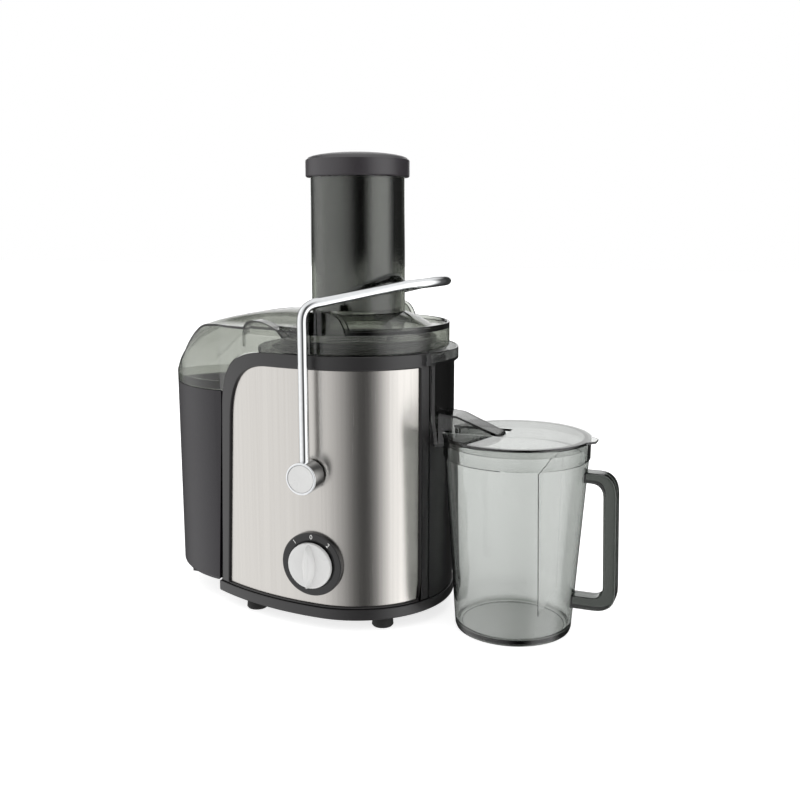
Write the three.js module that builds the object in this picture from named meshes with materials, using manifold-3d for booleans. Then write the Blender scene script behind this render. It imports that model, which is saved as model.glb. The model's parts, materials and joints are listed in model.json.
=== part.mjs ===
// Centrifugal juicer: motor unit with a steel front, juice collector, filter basket, lid with a
// feed chute, locking bail, pusher, pulp container and juice jug.
// Millimetres, +Z up, +X towards the jug, -Y is the front. Everything is drawn about the motor
// axis (x = 0, y = 0) with the table at z = 0; the group is then moved to the middle of its box.
import * as THREE from "three";
import { mergeVertices } from "three/addons/utils/BufferGeometryUtils.js";
import Module from "manifold-3d";

const wasm = await Module();
wasm.setup();

// ---------------------------------------------------------------- driving dimensions
const GAP = 0.3; // between pieces that touch
const RUN = 0.5; // round a piece that slides or turns
const WALL = 2.5; // housing and base

// motor unit
const BODY_R = 86; // round end of the motor unit, about the motor axis
const FRONT_R = 260; // gentle curve of the front and the back
const BODY_LEFT = 115; // motor axis to the left wall, at the foot of the housing
const BODY_LEAN = 8; // how far the left wall leans in by its top
const DECK_Z = 228; // flat top of the housing
const FOOT_H = 11;
const FOOT_R = 9.5;
const SCREW_R = 2;
const BASE_H = 10; // base cover, under the housing
const BASE_PROUD = 1.4; // base cover beyond the housing
const TRIM_T = 3.2;
const TRIM_SIDE = 6.5; // right end of the front trim, inside the round end
const PANEL_SIDE = 4.5; // right end of the panel, inside the trim's
const PANEL_DEEP = 2.2; // steel below the surface of the trim
const PANEL_T = 1;
const WELL_DEEP = 62.5; // well in the housing that the collector stands in
const WELL_SIDE = 6; // wall of the well to the outside
const GLAND_X = -45; // cord's inlet
const GLAND_Z = 40;
const GLAND_R = 8;

// controls and bail
const CONTROL_X = -7.5; // dial and bail pivot, across the front
const DIAL_Z = 59;
const DIAL_R = 28;
const DIAL_NECK_R = 19;
const KNOB_R = 20;
const KNOB_H = 11;
const SPINDLE_R = 3;
const PIVOT_Z = 138.5;
const PIVOT_R = 13.8;
const PIVOT_OUT = 19; // face of the pivot knob, beyond the housing
const BUSH_R = 8;
const PIN_R = 4;
const BAIL_ROD_R = 4.2;
const BAIL_OUT = 11; // middle of an arm, beyond the housing
const BAIL_OVER = 53; // rod at the top of an arm, over the deck
const BAIL_RISE = 19.5; // tip of the loop above the arms
const BAIL_SHORT = 5; // tip inside the round end

// collector, basket and drive
const BOWL_WALL = 2.2;
const RIM_OUT = 4; // collector rim beyond the housing
const SPOUT_Y = -12; // spout and jug, from the motor axis
const SPOUT_W = 28; // at the housing
const APRON_W = 37; // collector's apron, above the spout
const BASKET_R = 66; // filter basket under its rim
const BASKET_FOOT_R = 48;
const BASKET_OVER = 15; // its top, over the deck
const HUB_R = 22;
const COUPLING_R = 15;
const MOTOR_R = 43;
const STATOR_H = 44;
const ARMATURE_R = 22;
const SHAFT_R = 4;
const BEARING_R = 9;
const BEARING_H = 7;
const SEAL_R = 14;

// lid, chute and pusher
const LID_WALL = 2.2;
const LID_SIDE = 4.2; // round ring of the lid inside the housing's outside
const RING_OVER = 33; // top of that ring, over the deck
const CREST_OVER = 43; // highest line of the pulp cover
const EDGE_OVER = 30; // its front and back edge
const CHUTE_R = 41.5;
const CHUTE_TOP_Z = 386;
const PUSHER_WALL = 2.2;
const CAP_OUT = 4.1; // cap beyond the chute
const CAP_SIDE_H = 15;
const CAP_DOME_H = 6.5;

// pulp container
const BIN_OUT = 73.5; // nose of the container beyond the left wall
const BIN_HALF_W = 60;
const BIN_FOOT_Z = 20;
const BIN_UNDER = 28; // its rim below the deck
const BIN_WALL = 2.4;
const BIN_SLACK = 1.5; // to the housing

// juice jug
const JUG_FOOT_R = 50.2;
const JUG_R = 62.4;
const JUG_WALL = 2.2;
const JUG_SLACK = 1.2; // to the base cover
const HANDLE_OUT = 27.1; // outside of the handle beyond the rim
const HANDLE_W = 17;
const HANDLE_T = 11;
const HANDLE_BEND = 19; // outside radius of its corners
const HANDLE_FOOT_Z = 25;

// worked out from the above
const HOUSING_Z = FOOT_H + BASE_H + GAP;
const BODY_LEFT_TOP = BODY_LEFT - BODY_LEAN;
const SHOULDER_Z = DECK_Z - 38; // where the left wall turns over to the top
const TRIM_TOP_Z = DECK_Z + 11;
const TRIM_RIGHT = BODY_R - TRIM_SIDE;
const PANEL_TOP_Z = DECK_Z - 1;
const PANEL_RIGHT = TRIM_RIGHT - PANEL_SIDE;
const PANEL_BACK = PANEL_DEEP + PANEL_T;
const FRONT_BACK = TRIM_T + GAP; // housing behind the trim and the panel
const WELL_R = BODY_R - WELL_SIDE;
const WELL_Z = DECK_Z - WELL_DEEP; // floor of the well
const WELL_FLOOR = WELL_Z - WALL;
const PIVOT_REACH = BODY_R + PIVOT_OUT;
const BAIL_Y = BODY_R + BAIL_OUT;
const BAIL_TOP_Z = DECK_Z + BAIL_OVER;
const BAIL_TIP_X = BODY_R - BAIL_SHORT;
const BOWL_R = WELL_R - RUN;
const RIM_R = BODY_R + RIM_OUT;
const RIM_TOP_Z = TRIM_TOP_Z + GAP;
const APRON_R = RIM_R - 1; // its outside, about the motor axis
const APRON_FOOT_Z = WELL_Z - 8.5;
const MOTOR_Z = WELL_FLOOR - 97; // foot of the stator: the motor hangs from the well
const COUPLING_Z = WELL_Z + 10.5;
const BASKET_Z = WELL_Z + 40.5;
const BASKET_TOP_Z = DECK_Z + BASKET_OVER;
const LID_R = BODY_R - LID_SIDE;
const LID_FOOT_Z = RIM_TOP_Z + GAP;
const LID_RING_TOP_Z = DECK_Z + RING_OVER;
const CREST_Z = DECK_Z + CREST_OVER;
const EDGE_Z = DECK_Z + EDGE_OVER;
const CONE_TOP_Z = CREST_Z - 1;
const CONE_FOOT_R = LID_R - 15.8;
const CHUTE_FOOT_Z = EDGE_Z - 4;
const PUSHER_FOOT_Z = CREST_Z + 1;
const CAP_R = CHUTE_R + CAP_OUT;
const CAP_Z = CHUTE_TOP_Z + GAP;
const CAP_TOP_Z = CAP_Z + CAP_SIDE_H + CAP_DOME_H;
const BIN_LEFT = BODY_LEFT + BIN_OUT;
const BIN_TOP_Z = DECK_Z - BIN_UNDER;
const JUG_X = BODY_R + BASE_PROUD + JUG_SLACK + JUG_R;
const JUG_H = APRON_FOOT_Z + 11.5;
const SPOUT_TIP_X = JUG_X - 12;
const HANDLE_X = JUG_X + JUG_R + HANDLE_OUT;
const HANDLE_TOP_Z = JUG_H - 24.5;
const CENTRE_X = (HANDLE_X - BIN_LEFT) / 2;
const FEET = [
  [-BODY_LEFT + 37, 28 - BODY_R],
  [BODY_R - 41, 31 - BODY_R],
  [-BODY_LEFT + 37, BODY_R - 28],
  [BODY_R - 41, BODY_R - 31],
];

// ---------------------------------------------------------------- solids and shapes
function solid(geometry) {
  const bare = geometry.index ? geometry.toNonIndexed() : geometry.clone();
  bare.deleteAttribute("normal");
  bare.deleteAttribute("uv");
  const merged = mergeVertices(bare, 1e-4);
  return new wasm.Manifold(
    new wasm.Mesh({
      numProp: 3,
      vertProperties: new Float32Array(merged.attributes.position.array),
      triVerts: new Uint32Array(merged.index.array),
    }),
  );
}

function geometryOf(body) {
  const mesh = body.getMesh();
  const xyz = new Float32Array(mesh.numVert * 3);
  for (let i = 0; i < mesh.numVert; i++)
    xyz.set(mesh.vertProperties.subarray(i * mesh.numProp, i * mesh.numProp + 3), i * 3);
  return new THREE.BufferGeometry()
    .setAttribute("position", new THREE.BufferAttribute(xyz, 3))
    .setIndex(new THREE.BufferAttribute(new Uint32Array(mesh.triVerts), 1));
}

const ROUND = 40; // sides of a large round piece
const FAR = 400; // past every piece, for cuts that run right through

// A profile of [radius, height] points, listed anticlockwise, turned about the Z axis.
function lathe(points, sides = ROUND) {
  const profile = points.map(([r, z]) => new THREE.Vector2(r, z));
  if (THREE.ShapeUtils.area(profile) < 0) profile.reverse();
  if (!(points[0][0] === 0 && points[points.length - 1][0] === 0)) profile.push(profile[0].clone());
  return solid(new THREE.LatheGeometry(profile, sides).rotateX(Math.PI / 2));
}

function shapeOf(points) {
  return new THREE.Shape(points.map(([a, b]) => new THREE.Vector2(a, b)));
}

// A plan drawn in X and Y, between two heights.
function prismZ(shape, z0, z1, curveSegments = 12) {
  const options = { depth: z1 - z0, bevelEnabled: false, curveSegments };
  return solid(new THREE.ExtrudeGeometry(shape, options).translate(0, 0, z0));
}

// An elevation drawn in X and Z, between two depths.
function prismY(shape, y0, y1, curveSegments = 12) {
  const options = { depth: y1 - y0, bevelEnabled: false, curveSegments };
  return solid(new THREE.ExtrudeGeometry(shape, options).rotateX(Math.PI / 2).translate(0, y1, 0));
}

// A side view drawn in Y and Z, between two places along X.
const TURN_TO_X = new THREE.Matrix4().makeBasis(
  new THREE.Vector3(0, 1, 0),
  new THREE.Vector3(0, 0, 1),
  new THREE.Vector3(1, 0, 0),
);
function prismX(shape, x0, x1, curveSegments = 12) {
  const options = { depth: x1 - x0, bevelEnabled: false, curveSegments };
  return solid(new THREE.ExtrudeGeometry(shape, options).applyMatrix4(TURN_TO_X).translate(x0, 0, 0));
}

function block(x0, x1, y0, y1, z0, z1) {
  const box = new THREE.BoxGeometry(x1 - x0, y1 - y0, z1 - z0);
  return solid(box.translate((x0 + x1) / 2, (y0 + y1) / 2, (z0 + z1) / 2));
}

function rodZ(r, z0, z1, x = 0, y = 0, sides = 20) {
  const rod = new THREE.CylinderGeometry(r, r, z1 - z0, sides).rotateX(Math.PI / 2);
  return solid(rod.translate(x, y, (z0 + z1) / 2));
}

function rodY(r, y0, y1, x, z, sides = 20) {
  const rod = new THREE.CylinderGeometry(r, r, y1 - y0, sides);
  return solid(rod.translate(x, (y0 + y1) / 2, z));
}

function ringZ(outer, inner, z0, z1, sides = ROUND) {
  return lathe([[inner, z0], [outer, z0], [outer, z1], [inner, z1]], sides);
}

function tube(path, r, steps, sides) {
  const section = new THREE.Shape();
  section.absarc(0, 0, r, 0, 2 * Math.PI, false);
  const options = { steps, extrudePath: path, bevelEnabled: false, curveSegments: sides / 2 };
  return solid(new THREE.ExtrudeGeometry(section, options));
}

function mirrorY(body) {
  return body.mirror([0, 1, 0]);
}

// ---------------------------------------------------------------- outlines shared by pieces

// Plan of the motor unit: a round right end, and a gentle front and back that run to the left.
function bodyPlan(inset, left = BODY_LEFT) {
  const r = BODY_R - inset;
  const big = FRONT_R - inset;
  const away = Math.asin((left - inset) / big);
  const plan = new THREE.Shape();
  plan.absarc(0, 0, r, -Math.PI / 2, Math.PI / 2, false);
  plan.absarc(0, BODY_R - FRONT_R, big, Math.PI / 2, Math.PI / 2 + away, false);
  plan.absarc(0, FRONT_R - BODY_R, big, -Math.PI / 2 - away, -Math.PI / 2, false);
  return plan;
}

// Plan of the pulp container: half of a soft oval, from its flat side at x to its nose.
function binPlan(inset, flatX) {
  const long = BIN_LEFT - BODY_LEFT - inset;
  const half = BIN_HALF_W - inset;
  const softness = 1.25; // 1 is an ellipse; more gives a slimmer nose
  const points = [];
  const steps = 28;
  for (let i = 0; i <= steps; i++) {
    const t = -Math.PI / 2 + (Math.PI * i) / steps;
    const x = -long * Math.pow(Math.max(0, Math.cos(t)), softness);
    const y = half * Math.sign(Math.sin(t)) * Math.pow(Math.abs(Math.sin(t)), softness);
    points.push([x - BODY_LEFT, -y]);
  }
  points.push([flatX, -half]);
  points.unshift([flatX, half]);
  return shapeOf(points);
}

// Elevation of the front trim, also the line that the lid's lower edge follows.
function trimOutline(grow, footZ, right) {
  const shoulder = BODY_LEFT_TOP - 1 + grow;
  const top = TRIM_TOP_Z + grow;
  const outline = new THREE.Shape();
  outline.moveTo(-BODY_LEFT + 1.5 - grow, footZ);
  outline.lineTo(right, footZ);
  outline.lineTo(right, top);
  outline.lineTo(62 - BODY_LEFT_TOP, top);
  outline.bezierCurveTo(18 - shoulder, top, 3 - shoulder, top - 13, -shoulder, SHOULDER_Z);
  return outline;
}

const PANEL_SLOPE = 11; // foot of the panel's left edge, inside the left wall
function panelOutline(shrink) {
  const outline = new THREE.Shape();
  const top = PANEL_TOP_Z - shrink;
  const left = BODY_LEFT_TOP - 12 - shrink;
  outline.moveTo(shrink + PANEL_SLOPE - BODY_LEFT, HOUSING_Z + shrink);
  outline.lineTo(PANEL_RIGHT - shrink, HOUSING_Z + shrink);
  outline.lineTo(PANEL_RIGHT - shrink, top);
  outline.lineTo(43 - left, top);
  outline.bezierCurveTo(20 - left, top, 3 - left, top - 12, -left, SHOULDER_Z - 10);
  return outline;
}

// Elevation of the housing: a leaning left wall and a round shoulder, where pulp slides down.
function housingOutline(inset, footZ, right) {
  const top = DECK_Z - inset;
  const shoulder = BODY_LEFT_TOP - 2 - inset;
  const outline = new THREE.Shape();
  outline.moveTo(-BODY_LEFT + 1 + inset, footZ);
  outline.lineTo(right, footZ);
  outline.lineTo(right, top);
  outline.lineTo(34 - shoulder, top);
  outline.bezierCurveTo(14 - shoulder, top, -shoulder, top - 15, -shoulder, SHOULDER_Z - 6);
  return outline;
}

// ---------------------------------------------------------------- motor unit: shell
function apronOutline(grow) {
  const low = SPOUT_W / 2 + grow;
  const high = APRON_W / 2 + grow;
  return shapeOf([
    [SPOUT_Y - low, APRON_FOOT_Z - grow],
    [SPOUT_Y + low, APRON_FOOT_Z - grow],
    [SPOUT_Y + high, APRON_FOOT_Z + 26],
    [SPOUT_Y + high, DECK_Z + 1],
    [SPOUT_Y - high, DECK_Z + 1],
    [SPOUT_Y - high, APRON_FOOT_Z + 26],
  ]);
}

function motorHousing() {
  const right = BODY_R + 10;
  let shell = prismZ(bodyPlan(0), HOUSING_Z, DECK_Z).intersect(
    prismY(housingOutline(0, HOUSING_Z, right), -FAR, FAR),
  );
  const recess = prismY(trimOutline(GAP, HOUSING_Z - 1, TRIM_RIGHT + GAP), -FAR, 0).subtract(
    prismZ(bodyPlan(FRONT_BACK), 0, FAR),
  );
  shell = shell.subtract(recess);
  const inside = FRONT_BACK + WALL;
  const behind = prismZ(bodyPlan(WALL), HOUSING_Z - 1, DECK_Z - WALL).subtract(
    block(-FAR, FAR, -FAR, 0, 0, FAR),
  );
  const space = prismZ(bodyPlan(inside), HOUSING_Z - 1, DECK_Z - WALL).add(behind);
  const well = rodZ(WELL_R + WALL, WELL_FLOOR, DECK_Z, 0, 0, ROUND);
  const hollow = space.subtract(well).intersect(
    prismY(housingOutline(WALL, HOUSING_Z - 1, right), -FAR, FAR),
  );
  shell = shell.subtract(hollow);
  shell = shell.subtract(rodZ(WELL_R, WELL_Z, DECK_Z + 1, 0, 0, ROUND));
  shell = shell.subtract(rodZ(SEAL_R, WELL_FLOOR - 1, WELL_Z + 1));
  shell = shell.subtract(prismX(apronOutline(RUN), WELL_R - 24, BODY_R + 9));
  shell = shell.subtract(rodY(DIAL_NECK_R + GAP, -BODY_R, -BODY_R + 14, CONTROL_X, DIAL_Z));
  for (const side of [-1, 1]) {
    const wall = side * BODY_R;
    const inner = side * (BODY_R - 14);
    shell = shell.subtract(
      rodY(BUSH_R + GAP, Math.min(wall, inner) - 1, Math.max(wall, inner) + 1, CONTROL_X, PIVOT_Z),
    );
  }
  shell = shell.subtract(rodY(GLAND_R + GAP, BODY_R - 14, BODY_R + 1, GLAND_X, GLAND_Z));
  return shell;
}

const BOARD_X = -56; // control board, in the foot of the motor unit
const BOARD_L = 52;
const BOARD_W = 76;
const BOARD_Z = FOOT_H + WALL + 5;
const SILL_H = 1.2; // trim under the panel
function frontTrim() {
  const sheet = prismZ(bodyPlan(0), HOUSING_Z, FAR).subtract(prismZ(bodyPlan(TRIM_T), 0, FAR + 1));
  const frame = prismY(trimOutline(0, HOUSING_Z, TRIM_RIGHT), -FAR, 0);
  const window = prismY(panelOutline(-GAP), -FAR, 0).subtract(
    block(-FAR, FAR, -FAR, 0, 0, HOUSING_Z + SILL_H),
  );
  return sheet.intersect(frame).subtract(window);
}

function frontPanel() {
  const sheet = prismZ(bodyPlan(PANEL_DEEP), HOUSING_Z, FAR).subtract(
    prismZ(bodyPlan(PANEL_BACK), 0, FAR + 1),
  );
  const outline = prismY(panelOutline(0), -FAR, 0).subtract(
    block(-FAR, FAR, -FAR, 0, 0, HOUSING_Z + SILL_H + GAP),
  );
  return sheet
    .intersect(outline)
    .subtract(rodY(DIAL_NECK_R + GAP, -BODY_R, -BODY_R + 14, CONTROL_X, DIAL_Z))
    .subtract(rodY(BUSH_R + GAP, -BODY_R, -BODY_R + 14, CONTROL_X, PIVOT_Z));
}

function baseCover() {
  const tray = prismZ(bodyPlan(-BASE_PROUD), FOOT_H, FOOT_H + BASE_H).subtract(
    prismZ(bodyPlan(WALL), FOOT_H + WALL, FOOT_H + BASE_H + 1),
  );
  const tongue = block(-BODY_LEFT - 46, -BODY_LEFT + 4, -36, 36, BIN_FOOT_Z - 4, BIN_FOOT_Z - GAP);
  let cover = tray.add(tongue);
  for (const x of [BOARD_X - BOARD_L / 2 + 5, BOARD_X + BOARD_L / 2 - 5])
    for (const y of [5 - BOARD_W / 2, BOARD_W / 2 - 5])
      cover = cover.add(rodZ(3, FOOT_H + WALL - 1, BOARD_Z - GAP, x, y, 10));
  for (const [x, y] of FEET) cover = cover.subtract(rodZ(SCREW_R + GAP, FOOT_H - 1, FOOT_H + 4, x, y, 12));
  for (let row = 0; row < 5; row++)
    cover = cover.subtract(block(-30, 30, -17 + row * 8, -14 + row * 8, FOOT_H - 1, FOOT_H + 4));
  return cover;
}

function foot(x, y) {
  const recess = 5;
  const cup = lathe(
    [
      [0, 3],
      [recess, 3],
      [recess, 0],
      [FOOT_R - 1, 0],
      [FOOT_R, 2],
      [FOOT_R - 0.8, FOOT_H - GAP],
      [0, FOOT_H - GAP],
    ],
    16,
  );
  return cup.subtract(rodZ(SCREW_R + GAP, 0, FOOT_H + 1, 0, 0, 12)).translate([x, y, 0]);
}

function footScrew(x, y) {
  const head = rodZ(SCREW_R * 2, 0.8, 3 - GAP, 0, 0, 12);
  return head.add(rodZ(SCREW_R, 1, FOOT_H + WALL + 4, 0, 0, 12)).translate([x, y, 0]);
}

// The cord's inlet at the back; the cord itself is left out.
function cordGland() {
  const neck = rodY(GLAND_R, BODY_R - 12, BODY_R + 2, GLAND_X, GLAND_Z);
  const flange = rodY(GLAND_R + 3, BODY_R - 1.8, BODY_R + 2, GLAND_X, GLAND_Z);
  const behind = rodY(GLAND_R + 3, BODY_R - 12, BODY_R - 9, GLAND_X, GLAND_Z);
  return neck.add(flange).add(behind).subtract(rodY(3.4, BODY_R - 20, BODY_R + 9, GLAND_X, GLAND_Z));
}

// ---------------------------------------------------------------- motor unit: drive
const UPPER_BEARING_Z = MOTOR_Z + STATOR_H + 30;
const LOWER_BEARING_Z = MOTOR_Z - 24;
const BRACKET_Z = UPPER_BEARING_Z + 2;
const BRACKET_T = 3;

function motorStator() {
  const core = ringZ(MOTOR_R, ARMATURE_R + 1, MOTOR_Z, MOTOR_Z + STATOR_H);
  const slots = block(-14, 14, -34, 34, MOTOR_Z - 1, MOTOR_Z + STATOR_H + 1);
  return core.subtract(slots.subtract(rodZ(ARMATURE_R + 4, MOTOR_Z - 2, MOTOR_Z + STATOR_H + 2)));
}

// A field winding: a bar in the stator's slot with an end turn above and below.
function fieldCoil(side) {
  const coil = block(-13, 13, 27.5, 33, MOTOR_Z - 7, MOTOR_Z + STATOR_H + 7);
  return side > 0 ? coil : mirrorY(coil);
}

function bearingBracket(z0, bearingZ) {
  const plate = block(-9, 9, -MOTOR_R + 2, MOTOR_R - 2, z0, z0 + BRACKET_T);
  const seat = rodZ(BEARING_R + 3, bearingZ, bearingZ + BEARING_H);
  let bracket = plate.add(seat);
  for (const side of [-1, 1]) {
    const y = side * (MOTOR_R - 5);
    const legZ0 = z0 > MOTOR_Z ? MOTOR_Z + STATOR_H + GAP : z0;
    const legZ1 = z0 > MOTOR_Z ? z0 + 1 : MOTOR_Z - GAP;
    bracket = bracket.add(block(-9, 9, y - 3, y + 3, legZ0, legZ1));
  }
  return bracket.subtract(rodZ(BEARING_R + GAP, bearingZ - 20, bearingZ + 20));
}

function bearing(z) {
  return ringZ(BEARING_R, SHAFT_R + GAP, z, z + BEARING_H, 24);
}

function motorShaft() {
  return rodZ(SHAFT_R, LOWER_BEARING_Z - 4, COUPLING_Z + 10, 0, 0, 16);
}

function armatureCore() {
  let core = ringZ(ARMATURE_R, SHAFT_R + GAP, MOTOR_Z, MOTOR_Z + STATOR_H);
  const slots = 12;
  for (let i = 0; i < slots; i++) {
    const a = (2 * Math.PI * i) / slots;
    const slot = block(ARMATURE_R - 6, ARMATURE_R + 1, -1.2, 1.2, MOTOR_Z - 1, MOTOR_Z + STATOR_H + 1);
    core = core.subtract(slot.rotate([0, 0, (a * 180) / Math.PI]));
  }
  return core;
}

function commutator() {
  return ringZ(12, SHAFT_R + GAP, MOTOR_Z - 15, MOTOR_Z - 3, 24);
}

function brushHolder(side) {
  const holder = block(12.6, 32, -4, 4, MOTOR_Z - 13, MOTOR_Z - 5);
  return side > 0 ? holder : holder.mirror([1, 0, 0]);
}

// Rubber post between the motor's top bracket and the floor of the well.
function motorMount(side) {
  const post = rodZ(6, BRACKET_Z + BRACKET_T + GAP, WELL_FLOOR - GAP, 0, MOTOR_R - 11, 16);
  return side > 0 ? post : mirrorY(post);
}

// Seven blades on a hub, above the stator.
function coolingFan() {
  const z0 = MOTOR_Z + STATOR_H + 9;
  let fan = ringZ(10, SHAFT_R + GAP, z0, z0 + 11, 24).add(ringZ(MOTOR_R - 9.5, 8, z0, z0 + 1.6, 24));
  const blades = 7;
  for (let i = 0; i < blades; i++) {
    const blade = block(8, MOTOR_R - 10.5, -0.9, 0.9, z0 + 1, z0 + 11);
    fan = fan.add(blade.rotate([0, 0, (360 * i) / blades]));
  }
  return fan;
}

// Lip seal where the shaft leaves the housing.
function shaftSeal() {
  return lathe(
    [
      [SHAFT_R + RUN, WELL_FLOOR + 0.5],
      [SEAL_R - GAP, WELL_FLOOR + 0.5],
      [SEAL_R - GAP, WELL_Z + GAP],
      [SEAL_R + 2, WELL_Z + GAP],
      [SEAL_R + 2, WELL_Z + 2],
      [SHAFT_R + RUN + 1.6, WELL_Z + 4],
      [SHAFT_R + RUN, WELL_Z + 4],
    ],
    24,
  );
}

function driveCoupling() {
  let coupling = rodZ(COUPLING_R, COUPLING_Z, COUPLING_Z + 13).subtract(
    rodZ(SHAFT_R + GAP, COUPLING_Z - 1, COUPLING_Z + 10 + GAP, 0, 0, 16),
  );
  const teeth = 6;
  for (let i = 0; i < teeth; i++) {
    const tooth = block(COUPLING_R - 3, COUPLING_R + 1, -2, 2, COUPLING_Z + 4, COUPLING_Z + 14);
    coupling = coupling.subtract(tooth.rotate([0, 0, (360 * i) / teeth]));
  }
  return coupling;
}

// ---------------------------------------------------------------- controls
const DIAL_FACE_Y = -BODY_R - 1.6;
const SWITCH_Y = -BODY_R + FRONT_BACK + WALL + 1;

function dialRing() {
  const flange = rodY(DIAL_R, DIAL_FACE_Y, -BODY_R + 10, CONTROL_X, DIAL_Z, ROUND).subtract(
    prismZ(bodyPlan(PANEL_DEEP - GAP), 0, FAR),
  );
  const neck = rodY(DIAL_NECK_R, DIAL_FACE_Y, SWITCH_Y - GAP, CONTROL_X, DIAL_Z);
  return flange.add(neck).subtract(rodY(SPINDLE_R + RUN, -FAR, 0, CONTROL_X, DIAL_Z));
}

function speedKnob() {
  const y0 = DIAL_FACE_Y - RUN;
  const disc = rodY(KNOB_R, y0 - 4.5, y0, CONTROL_X, DIAL_Z, ROUND);
  const grip = block(-4.5, 4.5, y0 - KNOB_H, y0 - 4, -KNOB_R + 1, KNOB_R - 1).translate([
    CONTROL_X,
    0,
    DIAL_Z,
  ]);
  return disc.add(grip).subtract(rodY(SPINDLE_R + GAP, y0 - 8, y0 + 1, CONTROL_X, DIAL_Z, 16));
}

function knobSpindle() {
  return rodY(SPINDLE_R, DIAL_FACE_Y - RUN - 8 + GAP, SWITCH_Y + 16, CONTROL_X, DIAL_Z, 16);
}

function speedSwitch() {
  const body = block(-15, 15, SWITCH_Y, SWITCH_Y + 20, -15, 15).translate([CONTROL_X, 0, DIAL_Z]);
  return body.subtract(rodY(SPINDLE_R + RUN, SWITCH_Y - 1, SWITCH_Y + 17, CONTROL_X, DIAL_Z, 16));
}

// On four posts of the base cover.
function controlBoard() {
  const board = block(-BOARD_L / 2, BOARD_L / 2, -BOARD_W / 2, BOARD_W / 2, BOARD_Z, BOARD_Z + 1.6);
  return board.translate([BOARD_X, 0, 0]);
}

// ---------------------------------------------------------------- locking bail
const BUSH_IN = BODY_R - 9; // inner end of a bush, from the motor axis

function pivotBush() {
  return rodY(BUSH_R, -BODY_R + 0.6, -BUSH_IN, CONTROL_X, PIVOT_Z).subtract(
    rodY(PIN_R + RUN, -BODY_R - 1, -BUSH_IN + 1, CONTROL_X, PIVOT_Z),
  );
}

function pivotPin() {
  return rodY(PIN_R, -PIVOT_REACH + 4, -BUSH_IN + 8, CONTROL_X, PIVOT_Z, 16);
}

function pivotKnob() {
  const knob = rodY(PIVOT_R, -PIVOT_REACH, -BODY_R - GAP, CONTROL_X, PIVOT_Z, 36);
  const forPin = rodY(PIN_R + GAP, -PIVOT_REACH + 4 - GAP, -BODY_R + 1, CONTROL_X, PIVOT_Z, 16);
  const forRod = rodZ(BAIL_ROD_R + GAP, PIVOT_Z + PIN_R + 2, PIVOT_Z + 30, CONTROL_X, -BAIL_Y, 16);
  return knob.subtract(forPin).subtract(forRod);
}

// Disc with a flat on the front pin, that works the safety switch.
function interlockCam() {
  const y0 = -BUSH_IN + RUN;
  return rodY(9, y0, y0 + 5, CONTROL_X, PIVOT_Z)
    .subtract(block(-20, 20, y0 - 1, y0 + 6, 6, 20).translate([CONTROL_X, 0, PIVOT_Z]))
    .subtract(rodY(PIN_R + GAP, y0 - 1, y0 + 6, CONTROL_X, PIVOT_Z, 16));
}

function interlockSwitch() {
  const y0 = -BUSH_IN + RUN;
  return block(-10, 10, y0 - 2, y0 + 9, -28, -10).translate([CONTROL_X, 0, PIVOT_Z]);
}

// A rod bent to a loop: up the front, out round the chute to the right, and down the back.
function bailRod() {
  const bend = 13;
  const slope = BAIL_RISE / (BAIL_TIP_X - CONTROL_X);
  const apexX = BAIL_TIP_X + 22;
  const run = (x) => {
    const y = (-BAIL_Y * (apexX - x)) / (apexX - CONTROL_X);
    return new THREE.Vector3(x, y, BAIL_TOP_Z + slope * (x - CONTROL_X));
  };
  const flip = (v) => new THREE.Vector3(v.x, -v.y, v.z);
  const foot = new THREE.Vector3(CONTROL_X, -BAIL_Y, PIVOT_Z + PIN_R + 2 + GAP);
  const corner = run(CONTROL_X);
  const below = new THREE.Vector3(CONTROL_X, -BAIL_Y, BAIL_TOP_Z - bend);
  const after = run(CONTROL_X + bend * 0.75);
  const turn = run(2 * BAIL_TIP_X - apexX);
  const apex = run(apexX);
  apex.z = BAIL_TOP_Z + BAIL_RISE;
  const path = new THREE.CurvePath();
  path.add(new THREE.LineCurve3(foot, below));
  path.add(new THREE.QuadraticBezierCurve3(below, corner, after));
  path.add(new THREE.LineCurve3(after, turn));
  path.add(new THREE.QuadraticBezierCurve3(turn, apex, flip(turn)));
  path.add(new THREE.LineCurve3(flip(turn), flip(after)));
  path.add(new THREE.QuadraticBezierCurve3(flip(after), flip(corner), flip(below)));
  path.add(new THREE.LineCurve3(flip(below), flip(foot)));
  return tube(path, BAIL_ROD_R, 80, 8);
}

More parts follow.
